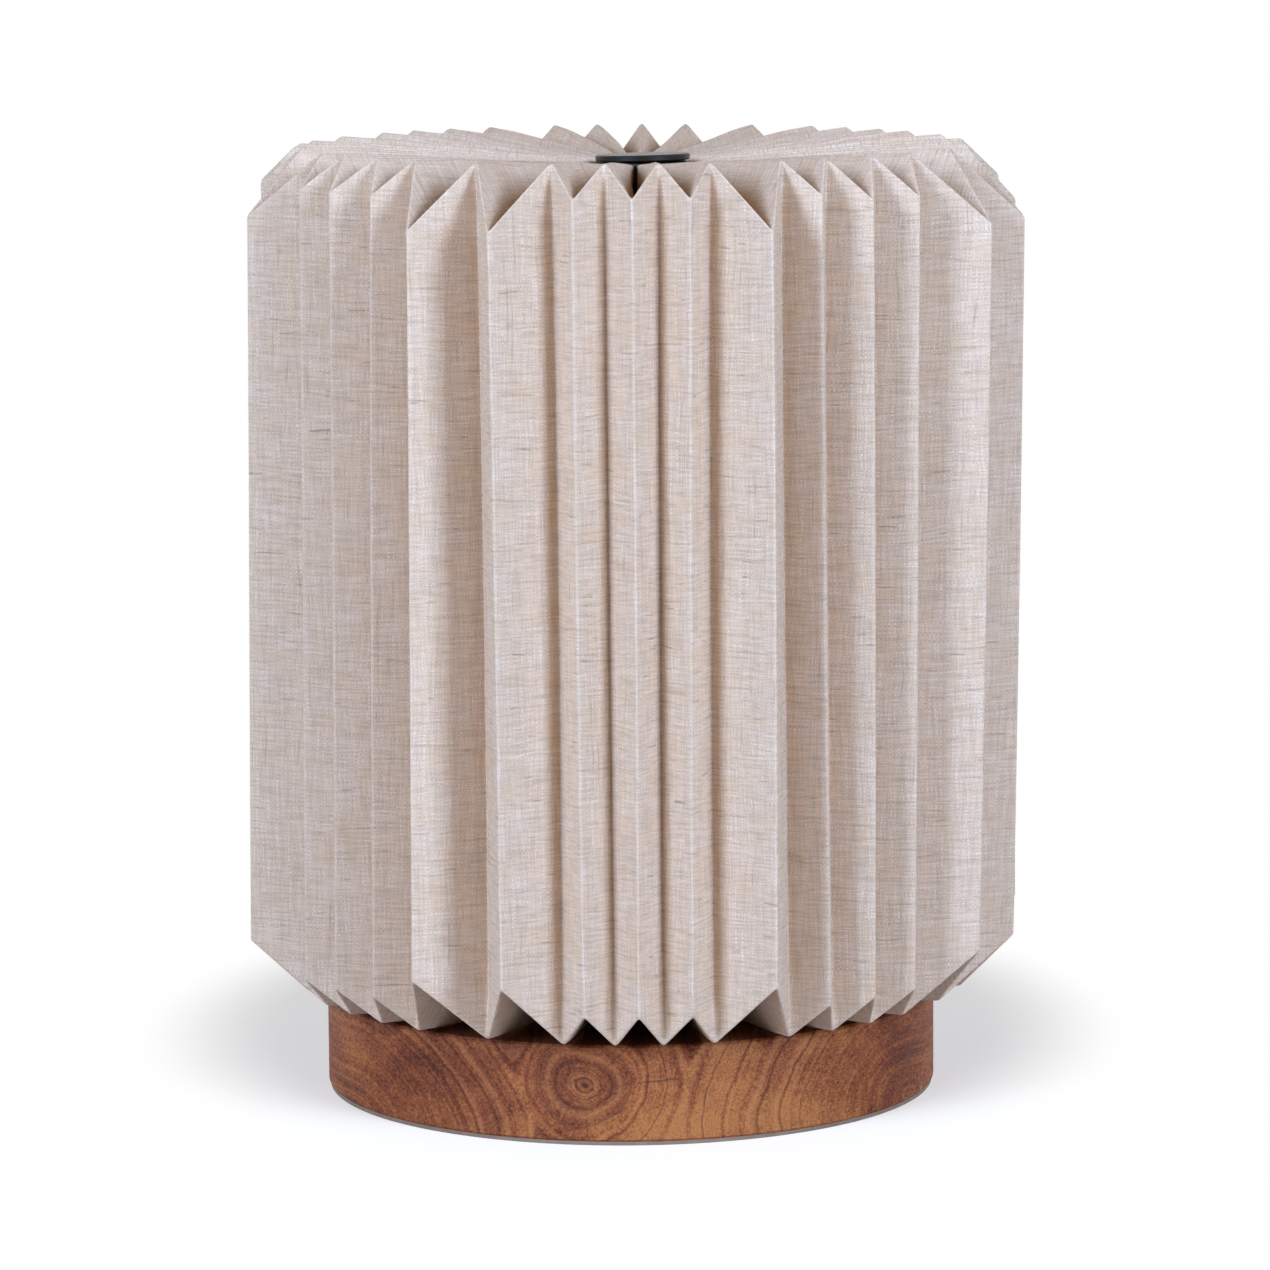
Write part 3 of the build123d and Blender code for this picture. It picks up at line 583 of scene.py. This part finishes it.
def thread_tone(tree, number, run, length, seed):
    """A grey for each thread that also changes slowly along its run, over about length millimetres."""
    own = add(tree, "Math", operation="FLOOR", _0=number)
    step = add(tree, "Math", operation="MULTIPLY", _0=run, _1=THREAD / (length * MM))
    row = add(tree, "CombineXYZ", X=add(tree, "Math", operation="MULTIPLY", _0=own, _1=ROW_APART), Y=step, Z=seed)
    return add(tree, "TexNoise", Vector=row, Scale=1.0, Detail=2.0)


print("threads to the centimetre:", round(10 * MM / THREAD, 1))

# %% Weave the linen
SLUBS = (  # turned up, length in mm, how rare, how dark, seed: long faint ones, short dark ones, a few upright ones
    (False, 34.0, 0.600, 0.28, 3.1),
    (False, 11.0, 0.655, 0.58, 5.7),
    (True, 26.0, 0.640, 0.34, 9.4),
)
HEATHER = ((9.0, 0.8, 0.21), (0.8, 10.0, 0.14))  # soft streaks of darker flax: width and height in mm, how dark


def woven_linen(name):
    """Flax cloth, matt and dry to the eye: no gloss, a soft grain and thin dark slubs."""
    material, tree, shader = new_material(name, Roughness=0.92, IOR=1.5, Specular_IOR_Level=0.2)
    place = add(tree, "UVMap", uv_map="flat_sheet")
    across, along = thread_places(tree, place)
    waves = [
        add(tree, "Math", operation="SINE", _0=add(tree, "Math", operation="MULTIPLY", _0=number, _1=math.pi))
        for number in (across, along)
    ]
    weave = add(tree, "Math", operation="MULTIPLY", _0=waves[0], _1=waves[1])
    crown = add(tree, "Math", operation="ABSOLUTE", _0=weave)
    warp = thread_tone(tree, across, along, 22, 1.3)
    weft = thread_tone(tree, along, across, 16, 7.9)
    over = add(tree, "Math", operation="GREATER_THAN", _0=weave, _1=0.0)
    warp_colour = add(tree, "ValToRGB", stops=((0.32, "#D8B998"), (0.68, "#EFD3B5")), Fac=warp)
    weft_colour = add(tree, "ValToRGB", stops=((0.32, "#D3B493"), (0.68, "#ECD0B2")), Fac=weft)
    colour = add(tree, "Mix", data_type="RGBA", Factor=over, A=warp_colour, B=weft_colour)

    clouds = add(tree, "TexNoise", noise_dimensions="2D", Vector=place, Scale=1 / (11 * MM), Detail=3.0)
    tan = add(tree, "ValToRGB", stops=((0.38, 0.0), (0.70, 0.34)), Fac=clouds)
    colour = add(tree, "Mix", data_type="RGBA", Factor=tan, A=colour, B="#DEB88A")
    fuzz = add(tree, "TexNoise", noise_dimensions="2D", Vector=place, Scale=1 / (0.45 * MM), Detail=2.0)
    fuzz = add(tree, "ValToRGB", stops=((0.30, 0.24), (0.62, 0.0)), Fac=fuzz)
    colour = add(tree, "Mix", data_type="RGBA", Factor=fuzz, A=colour, B="#9C8570")
    # painted shade in the gaps between the threads, where one crosses the next
    thread_gap_shade = add(tree, "ValToRGB", stops=((0.0, 0.30), (0.34, 0.0)), Fac=crown)
    colour = add(tree, "Mix", data_type="RGBA", Factor=thread_gap_shade, A=colour, B="#A08872")
    for across_mm, along_mm, strength in HEATHER:
        stretched = add(tree, "VectorMath", operation="DIVIDE", _0=place, _1=(across_mm * MM, along_mm * MM, 1.0))
        streak = add(tree, "TexNoise", noise_dimensions="2D", Vector=stretched, Scale=1.0, Detail=2.0)
        streak = add(tree, "ValToRGB", stops=((0.34, strength), (0.56, 0.0)), Fac=streak)
        colour = add(tree, "Mix", data_type="RGBA", Factor=streak, A=colour, B="#94795A")
    for turned_up, length, cut, strength, seed in SLUBS:
        number, run, wave = (across, along, waves[0]) if turned_up else (along, across, waves[1])
        slub = thread_tone(tree, number, run, length, seed)
        slub = add(tree, "ValToRGB", stops=((cut, 0.0), (cut + 0.09, strength)), Fac=slub)
        thin = add(tree, "Math", operation="MULTIPLY", _0=wave, _1=wave)
        slub = add(tree, "Math", operation="MULTIPLY", _0=slub, _1=thin)
        colour = add(tree, "Mix", data_type="RGBA", Factor=slub, A=colour, B="#776452")
    tree.links.new(colour, shader.inputs["Base Color"])

    height = add(tree, "Math", operation="MULTIPLY_ADD", _0=weft, _1=0.8, _2=crown)
    tree.links.new(add(tree, "Bump", Strength=0.4, Distance=0.12 * MM, Height=height), shader.inputs["Normal"])
    return material


paint(shade, woven_linen("woven_linen_laminate"))
print("threads across the sheet:", round(sheet_width * MM / THREAD))

# %% [markdown]
# ## The wooden base
# The base is turned from one slab of a red-brown hardwood whose heart runs from front to back, so its rim shows end
# grain at the front and long grain at its sides. It is sanded and oiled, which wets the grain but leaves little
# gloss. A picture of wood could be wrapped round it, but the grain would break at the edge; a solid texture carries
# the rings through the block, so that they meet themselves over every edge. The rings grow round three hearts. The
# rim is painted a little darker towards its top, and the flat top much darker, as painted shade from the shade above.

# %% Lay out the rings
HEARTS = ((-15.3, 18.8, 0.0), (89.0, 3.0, 40.0), (-89.0, -4.0, 39.0))  # right, up, and how far out its rings begin
RING_PITCH = 5.2  # mm between the dark lines of two years
FINE_PITCH = 0.95  # mm between the faint lines inside a year
PITH_RINGS = 1.25  # mm between the fine rings beside the heart
CHECKS = ((180, 7, 11.5), (45, 10, 19), (-85, 12, 17), (5, 18, 30))  # drying cracks: their angle, start and end
BLOCK_RADIUS = 98


def ring_places(tree, spot):
    """A point in the wood as its rings see it, the same along the grain, its distance from the heart, its growth."""
    flat = add(tree, "VectorMath", operation="MULTIPLY", _0=spot, _1=(1.0, 0.0, 1.0))
    grain = add(tree, "Mapping", Vector=spot, Scale=(1.0, 0.12, 1.0))
    for size, reach in ((26, 7.0), (7, 1.3), (2, 0.3)):
        drift = add(tree, "TexNoise", take="Color", Vector=grain, Scale=1 / (size * MM), Detail=1.0)
        drift = add(tree, "VectorMath", operation="SUBTRACT", _0=drift, _1=(0.5, 0.5, 0.5))
        flat = add(tree, "VectorMath", operation="MULTIPLY_ADD", _0=drift, _1=(reach * MM, 0.0, reach * MM), _2=flat)
    growth = None
    for x, z, start in HEARTS:
        far = add(tree, "VectorMath", take="Value", operation="DISTANCE", _0=flat, _1=(x * MM, 0.0, z * MM))
        own = add(tree, "Math", operation="MULTIPLY_ADD", _0=far, _1=1 / MM, _2=-start)
        if growth is None:
            growth = from_heart = own
        else:
            growth = add(tree, "Math", operation="SMOOTH_MIN", _0=growth, _1=own, _2=6.0)
    return flat, grain, from_heart, growth


def year_lines(tree, growth, pitch, uneven, dark, pale):
    """The dark line that ends each year and the pale one beside it, both stronger in some years than in others."""
    drift = add(tree, "TexNoise", noise_dimensions="1D", W=growth, Scale=0.5 / pitch, Detail=1.0)
    count = add(tree, "Math", operation="DIVIDE", _0=growth, _1=pitch)
    count = add(tree, "Math", operation="MULTIPLY_ADD", _0=drift, _1=uneven, _2=count)
    season = add(tree, "Math", operation="FRACT", _0=count)
    year = add(tree, "Math", operation="FLOOR", _0=count)
    own = add(tree, "TexWhiteNoise", take="Value", noise_dimensions="1D", W=year)
    found = []
    for stops in (((0.0, 0.0), (0.06, dark), (0.18, 0.0)), ((0.15, 0.0), (0.24, pale), (0.42, 0.0))):
        line = add(tree, "ValToRGB", stops=stops, Fac=season)
        found.append(add(tree, "Math", operation="MULTIPLY", _0=line, _1=own))
    return found


print("hearts:", len(HEARTS))

# %% Grow the wood
def oiled_wood(name):
    """Oiled red-brown hardwood: a low sheen, dark thin year lines, open pores and a few short cracks."""
    material, tree, shader = new_material(name, Roughness=0.6, IOR=1.5, Specular_IOR_Level=0.14)
    spot = add(tree, "TexCoord", take="Object")
    flat, grain, from_heart, growth = ring_places(tree, spot)
    right, height = (add(tree, "SeparateXYZ", take=axis, Vector=spot) for axis in "XZ")

    across = {"Value": right, "From_Min": -BLOCK_RADIUS * MM, "From_Max": BLOCK_RADIUS * MM}
    side = add(tree, "MapRange", **across)
    stops = ((0.0, 0.40), (0.35, 0.50), (0.55, 0.70), (0.80, 0.74), (0.92, 0.50))
    tone = add(tree, "ValToRGB", stops=stops, Fac=side)
    # painted shade: the rim is a little lighter near the floor and darker towards its top, under the shade
    rise = add(tree, "MapRange", Value=height, From_Min=1 * MM, From_Max=31 * MM, To_Min=0.06, To_Max=-0.08)
    tone = add(tree, "Math", operation="ADD", _0=tone, _1=rise)
    patch = add(tree, "TexNoise", Vector=grain, Scale=1 / (16 * MM), Detail=4.0, Roughness=0.62)
    years = add(tree, "TexNoise", noise_dimensions="1D", W=growth, Scale=0.42, Detail=3.0)
    grit = add(tree, "TexNoise", Vector=grain, Scale=1 / (0.8 * MM), Detail=3.0, Roughness=0.75)
    for spread, strength in ((patch, 1.15), (years, 0.8), (grit, 1.5)):
        centred = add(tree, "Math", operation="SUBTRACT", _0=spread, _1=0.5)
        tone = add(tree, "Math", operation="MULTIPLY_ADD", _0=centred, _1=strength, _2=tone)
    colour = add(tree, "ValToRGB", stops=((0.15, "#4C2114"), (0.48, "#834324"), (0.90, "#AF6C38")), Fac=tone)

    line, pale = year_lines(tree, growth, RING_PITCH, 2.4, 0.70, 0.3)
    thin_line, thin_pale = year_lines(tree, growth, FINE_PITCH, 1.2, 0.62, 0.42)
    for strength, shade_of in ((pale, "#B5744A"), (thin_pale, "#B07045"), (thin_line, "#482114"), (line, "#3E1C12")):
        colour = add(tree, "Mix", data_type="RGBA", Factor=strength, A=colour, B=shade_of)

    near = add(tree, "Math", operation="DIVIDE", _0=from_heart, _1=25.0)
    stops = ((0.0, 1.0), (0.03, 0.9), (0.05, 0.25), (0.12, 0.08), (0.55, 0.05), (0.575, 0.50), (0.60, 0.0))
    heart = add(tree, "ValToRGB", stops=stops, Fac=near)
    fine = add(tree, "Math", operation="MULTIPLY", _0=from_heart, _1=2 * math.pi / PITH_RINGS)
    fine = add(tree, "MapRange", Value=add(tree, "Math", operation="SINE", _0=fine), From_Min=-0.3, To_Max=0.34)
    inside = add(tree, "MapRange", Value=from_heart, From_Min=13.0, From_Max=9.0)
    fine = add(tree, "Math", operation="MULTIPLY", _0=fine, _1=inside)
    heart = add(tree, "Math", operation="MAXIMUM", _0=heart, _1=fine)
    centre = add(tree, "VectorMath", operation="SUBTRACT", _0=flat, _1=(HEARTS[0][0] * MM, 0.0, HEARTS[0][1] * MM))
    for angle, start, end in CHECKS:
        turned_to = add(tree, "VectorRotate", rotation_type="Y_AXIS", Vector=centre, Angle=math.radians(angle))
        out, beside = (add(tree, "SeparateXYZ", take=axis, Vector=turned_to) for axis in "XZ")
        beside = add(tree, "Math", operation="ABSOLUTE", _0=beside)
        crack = add(tree, "MapRange", Value=beside, From_Min=0.38 * MM, From_Max=0.1 * MM, To_Max=0.6)
        long = add(tree, "Math", operation="COMPARE", _0=out, _1=(start + end) / 2 * MM, _2=(end - start) / 2 * MM)
        crack = add(tree, "Math", operation="MULTIPLY", _0=crack, _1=long)
        heart = add(tree, "Math", operation="MAXIMUM", _0=heart, _1=crack)
    colour = add(tree, "Mix", data_type="RGBA", Factor=heart, A=colour, B="#3C2017")

    pores = add(tree, "TexNoise", Vector=grain, Scale=1 / (0.42 * MM), Detail=1.0)
    more = add(tree, "MapRange", **across, To_Min=-0.04, To_Max=0.05)
    pores = add(tree, "Math", operation="SUBTRACT", _0=pores, _1=more)
    pores = add(tree, "ValToRGB", stops=((0.28, 0.55), (0.42, 0.0)), Fac=pores)
    colour = add(tree, "Mix", data_type="RGBA", Factor=pores, A=colour, B="#3E2217")
    # painted shade: faces that point up, the flat top under the shade, are darkened
    level = add(tree, "SeparateXYZ", take="Z", Vector=add(tree, "TexCoord", take="Normal"))
    painted_top_shade = add(tree, "MapRange", Value=level, From_Min=0.6, From_Max=0.9, To_Max=0.5)
    colour = add(tree, "Mix", data_type="RGBA", Factor=painted_top_shade, A=colour, B="#2B1610")
    tree.links.new(colour, shader.inputs["Base Color"])
    solid = add(tree, "Math", operation="SUBTRACT", _0=1.0, _1=pores)
    dents = add(tree, "Math", operation="MULTIPLY_ADD", _0=line, _1=-0.4, _2=solid)
    tree.links.new(add(tree, "Bump", Strength=0.3, Distance=0.12 * MM, Height=dents), shader.inputs["Normal"])
    return material


paint(nodes["base_block"], oiled_wood("oiled_hardwood"))
print("year lines across the base:", round(BLOCK_RADIUS / RING_PITCH))

# %% [markdown]
# ## Turned and threaded pieces
# The disc, the bulb's cap, the brass shell, the lampholder's sleeve and the crown of the harp are all round, and all
# but the disc carry a screw thread. They could be bevelled copies of the plain solids; here each is an outline that
# is turned round its own axis, and where the thread is cut the outline rises and falls as it goes round.

# %% Turn an outline
SHARP_ABOVE = math.radians(32)  # flatter edges than this are shaded round


def turned(name, body, slot, outline, axis_x=0.0, pitch=1.0, depth=0.0, steps=96, closed=False):
    """Turns (radius, height, share of the thread's depth) points, in mm, round an upright axis."""
    rings, turn = [], np.linspace(0, 2 * math.pi, steps, endpoint=False)
    for radius, height, threaded in outline:
        cut = depth * threaded * (0.5 - 0.5 * np.cos(turn - 2 * math.pi * height / pitch))
        rings.append(around(axis_x, radius - cut, turn, height))
    faces = []
    for i in range(len(rings) if closed else len(rings) - 1):
        one, other = i * steps, (i + 1) % len(rings) * steps
        faces += [[one + a, one + (a + 1) % steps, other + (a + 1) % steps, other + a] for a in range(steps)]
    mesh = bpy.data.meshes.new(name)
    mesh.from_pydata((np.concatenate(rings) * MM).tolist(), [], faces)
    work = bmesh.new()
    work.from_mesh(mesh)
    bmesh.ops.remove_doubles(work, verts=work.verts, dist=0.001 * MM)
    bmesh.ops.recalc_face_normals(work, faces=work.faces)
    work.to_mesh(mesh)
    work.free()
    mesh.polygons.foreach_set("use_smooth", [True] * len(mesh.polygons))
    mesh.set_sharp_from_angle(angle=SHARP_ABOVE)
    piece = bpy.data.objects.new(name, mesh)
    bpy.context.scene.collection.objects.link(piece)
    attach(piece, body)
    turned_pieces.append((piece, slot))
    return piece


def eased(outline, cut):
    """Breaks each corner of an outline of (radius, height) by a small chamfer, as every real edge is broken."""
    found = []
    for i, (radius, height) in enumerate(outline):
        if radius == 0:
            found.append((radius, height, 0))
            continue
        for other_radius, other_height in (outline[i - 1], outline[(i + 1) % len(outline)]):
            length = math.hypot(other_radius - radius, other_height - height)
            share = min(cut / length, 0.4)
            found.append((radius + (other_radius - radius) * share, height + (other_height - height) * share, 0))
    return found


def thread_run(radius, start, end, pitch, rows=8):
    """Points up a screw thread, which fades in and out over one turn at its ends."""
    found = []
    for z in np.linspace(start, end, 1 + round(abs(end - start) / pitch * rows)):
        found.append((radius, z, min(1.0, abs(z - start) / pitch, abs(end - z) / pitch)))
    return found


turned_pieces = []
print("edges sharper than", round(math.degrees(SHARP_ABOVE)), "degrees stay sharp")

# %% Turn the disc
DISC_RADIUS, DISC_THICKNESS, DISC_FOOT = 15.0, 2.0, 297.0
BOSS_RADIUS, BOSS_HEIGHT, BOSS_BORE = 5.6, 5.0, 3.2
DISC_WALL = 0.8  # what is left above the bore
DISC_BREAK = 0.35
DISC_TILT, DISC_NOD = math.radians(-1.07), math.radians(-1.5)  # it isn't level: its right and its front stand up

disc_top = DISC_FOOT + DISC_THICKNESS
bore_top = disc_top - DISC_WALL
boss_foot = DISC_FOOT - BOSS_HEIGHT
disc_outline = [(0, bore_top), (BOSS_BORE, bore_top), (BOSS_BORE, boss_foot), (BOSS_RADIUS, boss_foot)]
disc_outline += [(BOSS_RADIUS, DISC_FOOT), (DISC_RADIUS, DISC_FOOT), (DISC_RADIUS, disc_top), (0, disc_top)]
disc = turned("turned_disc", "disc", "disc_black", eased(disc_outline, DISC_BREAK), CROWN_SHIFT)
pivot = Matrix.Translation((CROWN_SHIFT * MM, 0, DISC_FOOT * MM))
leaning = Matrix.Rotation(DISC_TILT, 4, "Y") @ Matrix.Rotation(DISC_NOD, 4, "X")
disc.data.transform(pivot @ leaning @ pivot.inverted())
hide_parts("top_disc")
print("disc:", 2 * DISC_RADIUS, "mm across, tilted by", round(math.degrees(-DISC_TILT), 2), "degrees")

# %% Turn the bulb's cap and its shell
CAP_PITCH, CAP_DEPTH = 3.62, 0.85  # seven turns to the inch, the usual screw cap
SHELL_DEPTH = 0.22  # the shell is drawn shallow, so that the cap can slide past it
CAP_RADIUS, CAP_WALL, CAP_FOOT, CAP_TOP = 13.0, 0.4, 72.2, 94.2
TIP_RADIUS, CONE = 10.5, 2.5
THREAD_FOOT, THREAD_TOP = 75.6, 86.0

cap_outline = [(0, CAP_FOOT, 0), (TIP_RADIUS, CAP_FOOT, 0), (CAP_RADIUS, CAP_FOOT + CONE, 0)]
cap_outline += thread_run(CAP_RADIUS, THREAD_FOOT, THREAD_TOP, CAP_PITCH)
cap_outline += [(CAP_RADIUS, CAP_TOP, 0), (CAP_RADIUS - CAP_WALL, CAP_TOP, 0)]
cap_outline += thread_run(CAP_RADIUS - CAP_WALL, THREAD_TOP, THREAD_FOOT, CAP_PITCH)
cap_outline += [(CAP_RADIUS - CAP_WALL, CAP_FOOT + CONE + CAP_WALL, 0), (TIP_RADIUS, CAP_FOOT + CAP_WALL, 0)]
cap_outline += [(0, CAP_FOOT + CAP_WALL, 0)]
cap = turned("threaded_bulb_cap", "bulb", "bulb_metal", cap_outline, pitch=CAP_PITCH, depth=CAP_DEPTH)
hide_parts("bulb_cap")

shell_low, shell_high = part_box("screw_shell")
SHELL_RADIUS, SHELL_WALL, SHELL_FLANGE = 13.3, 0.6, 16.3
foot, top = shell_low.z / MM, shell_high.z / MM
shell_outline = [(SHELL_RADIUS, foot, 0), (SHELL_FLANGE, foot, 0), (SHELL_FLANGE, foot + SHELL_WALL, 0)]
shell_outline += [(SHELL_RADIUS + SHELL_WALL, foot + SHELL_WALL, 0)]
shell_outline += thread_run(SHELL_RADIUS + SHELL_WALL, foot + 3, top - 1, CAP_PITCH)
shell_outline += [(SHELL_RADIUS + SHELL_WALL, top, 0), (SHELL_RADIUS, top, 0)]
shell_outline += thread_run(SHELL_RADIUS, top - 1, foot + 3, CAP_PITCH)
shell = turned(
    "threaded_brass_shell", "base", "contact_brass", shell_outline, pitch=CAP_PITCH, depth=SHELL_DEPTH, closed=True
)
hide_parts("screw_shell")
print("turns on the cap:", round((THREAD_TOP - THREAD_FOOT) / CAP_PITCH, 1))

# %% Turn the lampholder's sleeve and the harp's crown
SLEEVE_PITCH, SLEEVE_DEPTH = 3.0, 0.7  # the coarse thread that a shade ring screws on to
SLEEVE_RADIUS, SLEEVE_WALL, MOUTH_RADIUS = 20.5, 2.0, 15.4
STUD_PITCH, STUD_DEPTH, STUD_RADIUS = 1.0, 0.5, 3.0
CROWN_BOSS, CROWN_FLANGE, CROWN_STEP, CROWN_PLATE = 6.5, 9.5, 4.2, 2.0

sleeve_low, sleeve_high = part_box("holder_sleeve")
foot, top = sleeve_low.z / MM, sleeve_high.z / MM
sleeve_outline = [(SLEEVE_RADIUS - SLEEVE_WALL, foot, 0)]
sleeve_outline += [(SLEEVE_RADIUS - 0.4, foot, 0), (SLEEVE_RADIUS, foot + 0.4, 0)]
sleeve_outline += thread_run(SLEEVE_RADIUS, foot + 2, top - 2, SLEEVE_PITCH)
sleeve_outline += [(SLEEVE_RADIUS, top - 0.5, 0), (SLEEVE_RADIUS - 0.5, top, 0), (MOUTH_RADIUS + 0.3, top, 0)]
sleeve_outline += [(MOUTH_RADIUS, top - 0.3, 0), (MOUTH_RADIUS, top - SLEEVE_WALL, 0)]
sleeve_outline += [(SLEEVE_RADIUS - SLEEVE_WALL, top - SLEEVE_WALL, 0)]
sleeve = turned(
    "threaded_holder_sleeve", "base", "black_plastic", sleeve_outline, pitch=SLEEVE_PITCH, depth=SLEEVE_DEPTH,
    closed=True,
)
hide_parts("holder_sleeve")

crown_low, crown_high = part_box("harp_crown")
foot, top = crown_low.z / MM, crown_high.z / MM
plate = foot + CROWN_STEP
shoulder = plate + CROWN_PLATE
crown_outline = eased([(0, foot), (CROWN_BOSS, foot), (CROWN_BOSS, plate), (CROWN_FLANGE, plate),
                       (CROWN_FLANGE, shoulder), (STUD_RADIUS, shoulder)], 0.3)
crown_outline += thread_run(STUD_RADIUS, shoulder + 0.5, top - 0.6, STUD_PITCH, 6)
crown_outline += [(STUD_RADIUS - STUD_DEPTH, top, 0), (0, top, 0)]
crown = turned(
    "threaded_harp_crown", "base", "zinc_steel", crown_outline, CROWN_SHIFT, STUD_PITCH, STUD_DEPTH, steps=48
)
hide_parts("harp_crown")
print("stud:", round(top - shoulder, 1), "mm long")

# %% [markdown]
# ## Plain finishes
# Moulded, plated and coated pieces share a few materials, each with a fine grain of its own. Even a plain surface
# isn't even: powder coat has a faint orange peel, a moulding clouds where the plastic cooled late, and plating
# shows the drawn metal under it. One function makes them all, from a colour, the same colour worn, and the size of
# the grain in millimetres.

# %% Finish the small pieces
CLOUD_SPAN = 12  # soft patches are this many times the size of the grain


def plain_finish(name, colour, worn, grain, rough, bump_depth, **values):
    """A finish whose tone and gloss change softly over grain millimetres."""
    material, tree, shader = new_material(name, **values)
    spot = add(tree, "TexCoord", take="Object")
    speckle = add(tree, "TexNoise", Vector=spot, Scale=1 / (grain * MM), Detail=3.0)
    cloud = add(tree, "TexNoise", Vector=spot, Scale=1 / (CLOUD_SPAN * grain * MM), Detail=2.0)
    tone = add(tree, "ValToRGB", stops=((0.35, colour), (0.65, worn)), Fac=cloud)
    gloss = add(tree, "ValToRGB", stops=((0.3, rough - 0.06), (0.7, rough + 0.06)), Fac=speckle)
    bump = add(tree, "Bump", Strength=0.3, Distance=bump_depth * MM, Height=speckle)
    for made, label in ((tone, "Base Color"), (gloss, "Roughness"), (bump, "Normal")):
        tree.links.new(made, shader.inputs[label])
    return material


FINISHES = {  # name, colour, worn colour, grain in mm, roughness, depth of the bump in mm, other values
    # the grey foam is coloured darker and browner than its own grey, as painted shade under the base's edge
    "base_foam": ("eva_foam_painted_shade", "#896F57", "#7D654E", 0.5, 0.85, 0.1, {}),
    "disc_black": ("black_powder_coat", "#17120F", "#1D1714", 0.3, 0.34, 0.01, {"Specular_IOR_Level": 0.24}),
    "black_plastic": ("black_phenolic_moulding", "#1B1B1C", "#232324", 0.6, 0.35, 0.02, {}),
    "zinc_steel": ("zinc_plated_steel", "#B9B9B6", "#A9AAA9", 0.5, 0.32, 0.01, {"Metallic": 1.0}),
    "hoop_steel": ("white_coated_steel", "#DEDCD8", "#D4D2CE", 0.4, 0.45, 0.02, {}),
    "holder_ceramic": ("steatite_ceramic", "#E6E3DA", "#DCD8CE", 0.5, 0.55, 0.03, {}),
    "contact_brass": ("stamped_brass", "#D9B36A", "#C9A058", 0.5, 0.28, 0.01, {"Metallic": 1.0}),
    "opal_plastic": ("opal_polycarbonate", "#EEE2CC", "#E8DBC4", 0.5, 0.38, 0.01, {"Subsurface_Weight": 0.3}),
    "white_plastic": ("white_moulded_pbt", "#E4DACA", "#DCD1C0", 0.5, 0.42, 0.02, {}),
    "bulb_metal": ("nickel_plated_cap", "#C9C6C0", "#BAB7B0", 0.5, 0.25, 0.01, {"Metallic": 1.0}),
    "bulb_black_glass": ("black_vitrite_glass", "#101012", "#161618", 0.5, 0.12, 0.005, {}),
    "bulb_solder": ("lead_free_solder", "#A8A8AA", "#97979A", 0.4, 0.4, 0.03, {"Metallic": 1.0}),
}
finishes = {slot: plain_finish(*given, **values) for slot, (*given, values) in FINISHES.items()}
for part in frame["record"]["subparts"]:
    if part["material_slot"] in finishes:
        paint(nodes[part["node"]], finishes[part["material_slot"]])
for piece, slot in turned_pieces:
    paint(piece, finishes[slot])
print("finishes:", len(finishes))

# %% [markdown]
# ## Close the lesson
# The size of the finished model is written out.

# %% Write the sizes and finish
low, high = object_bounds()
print("visual model:", [round((b - a) / MM, 1) for a, b in zip(low, high)], "mm")
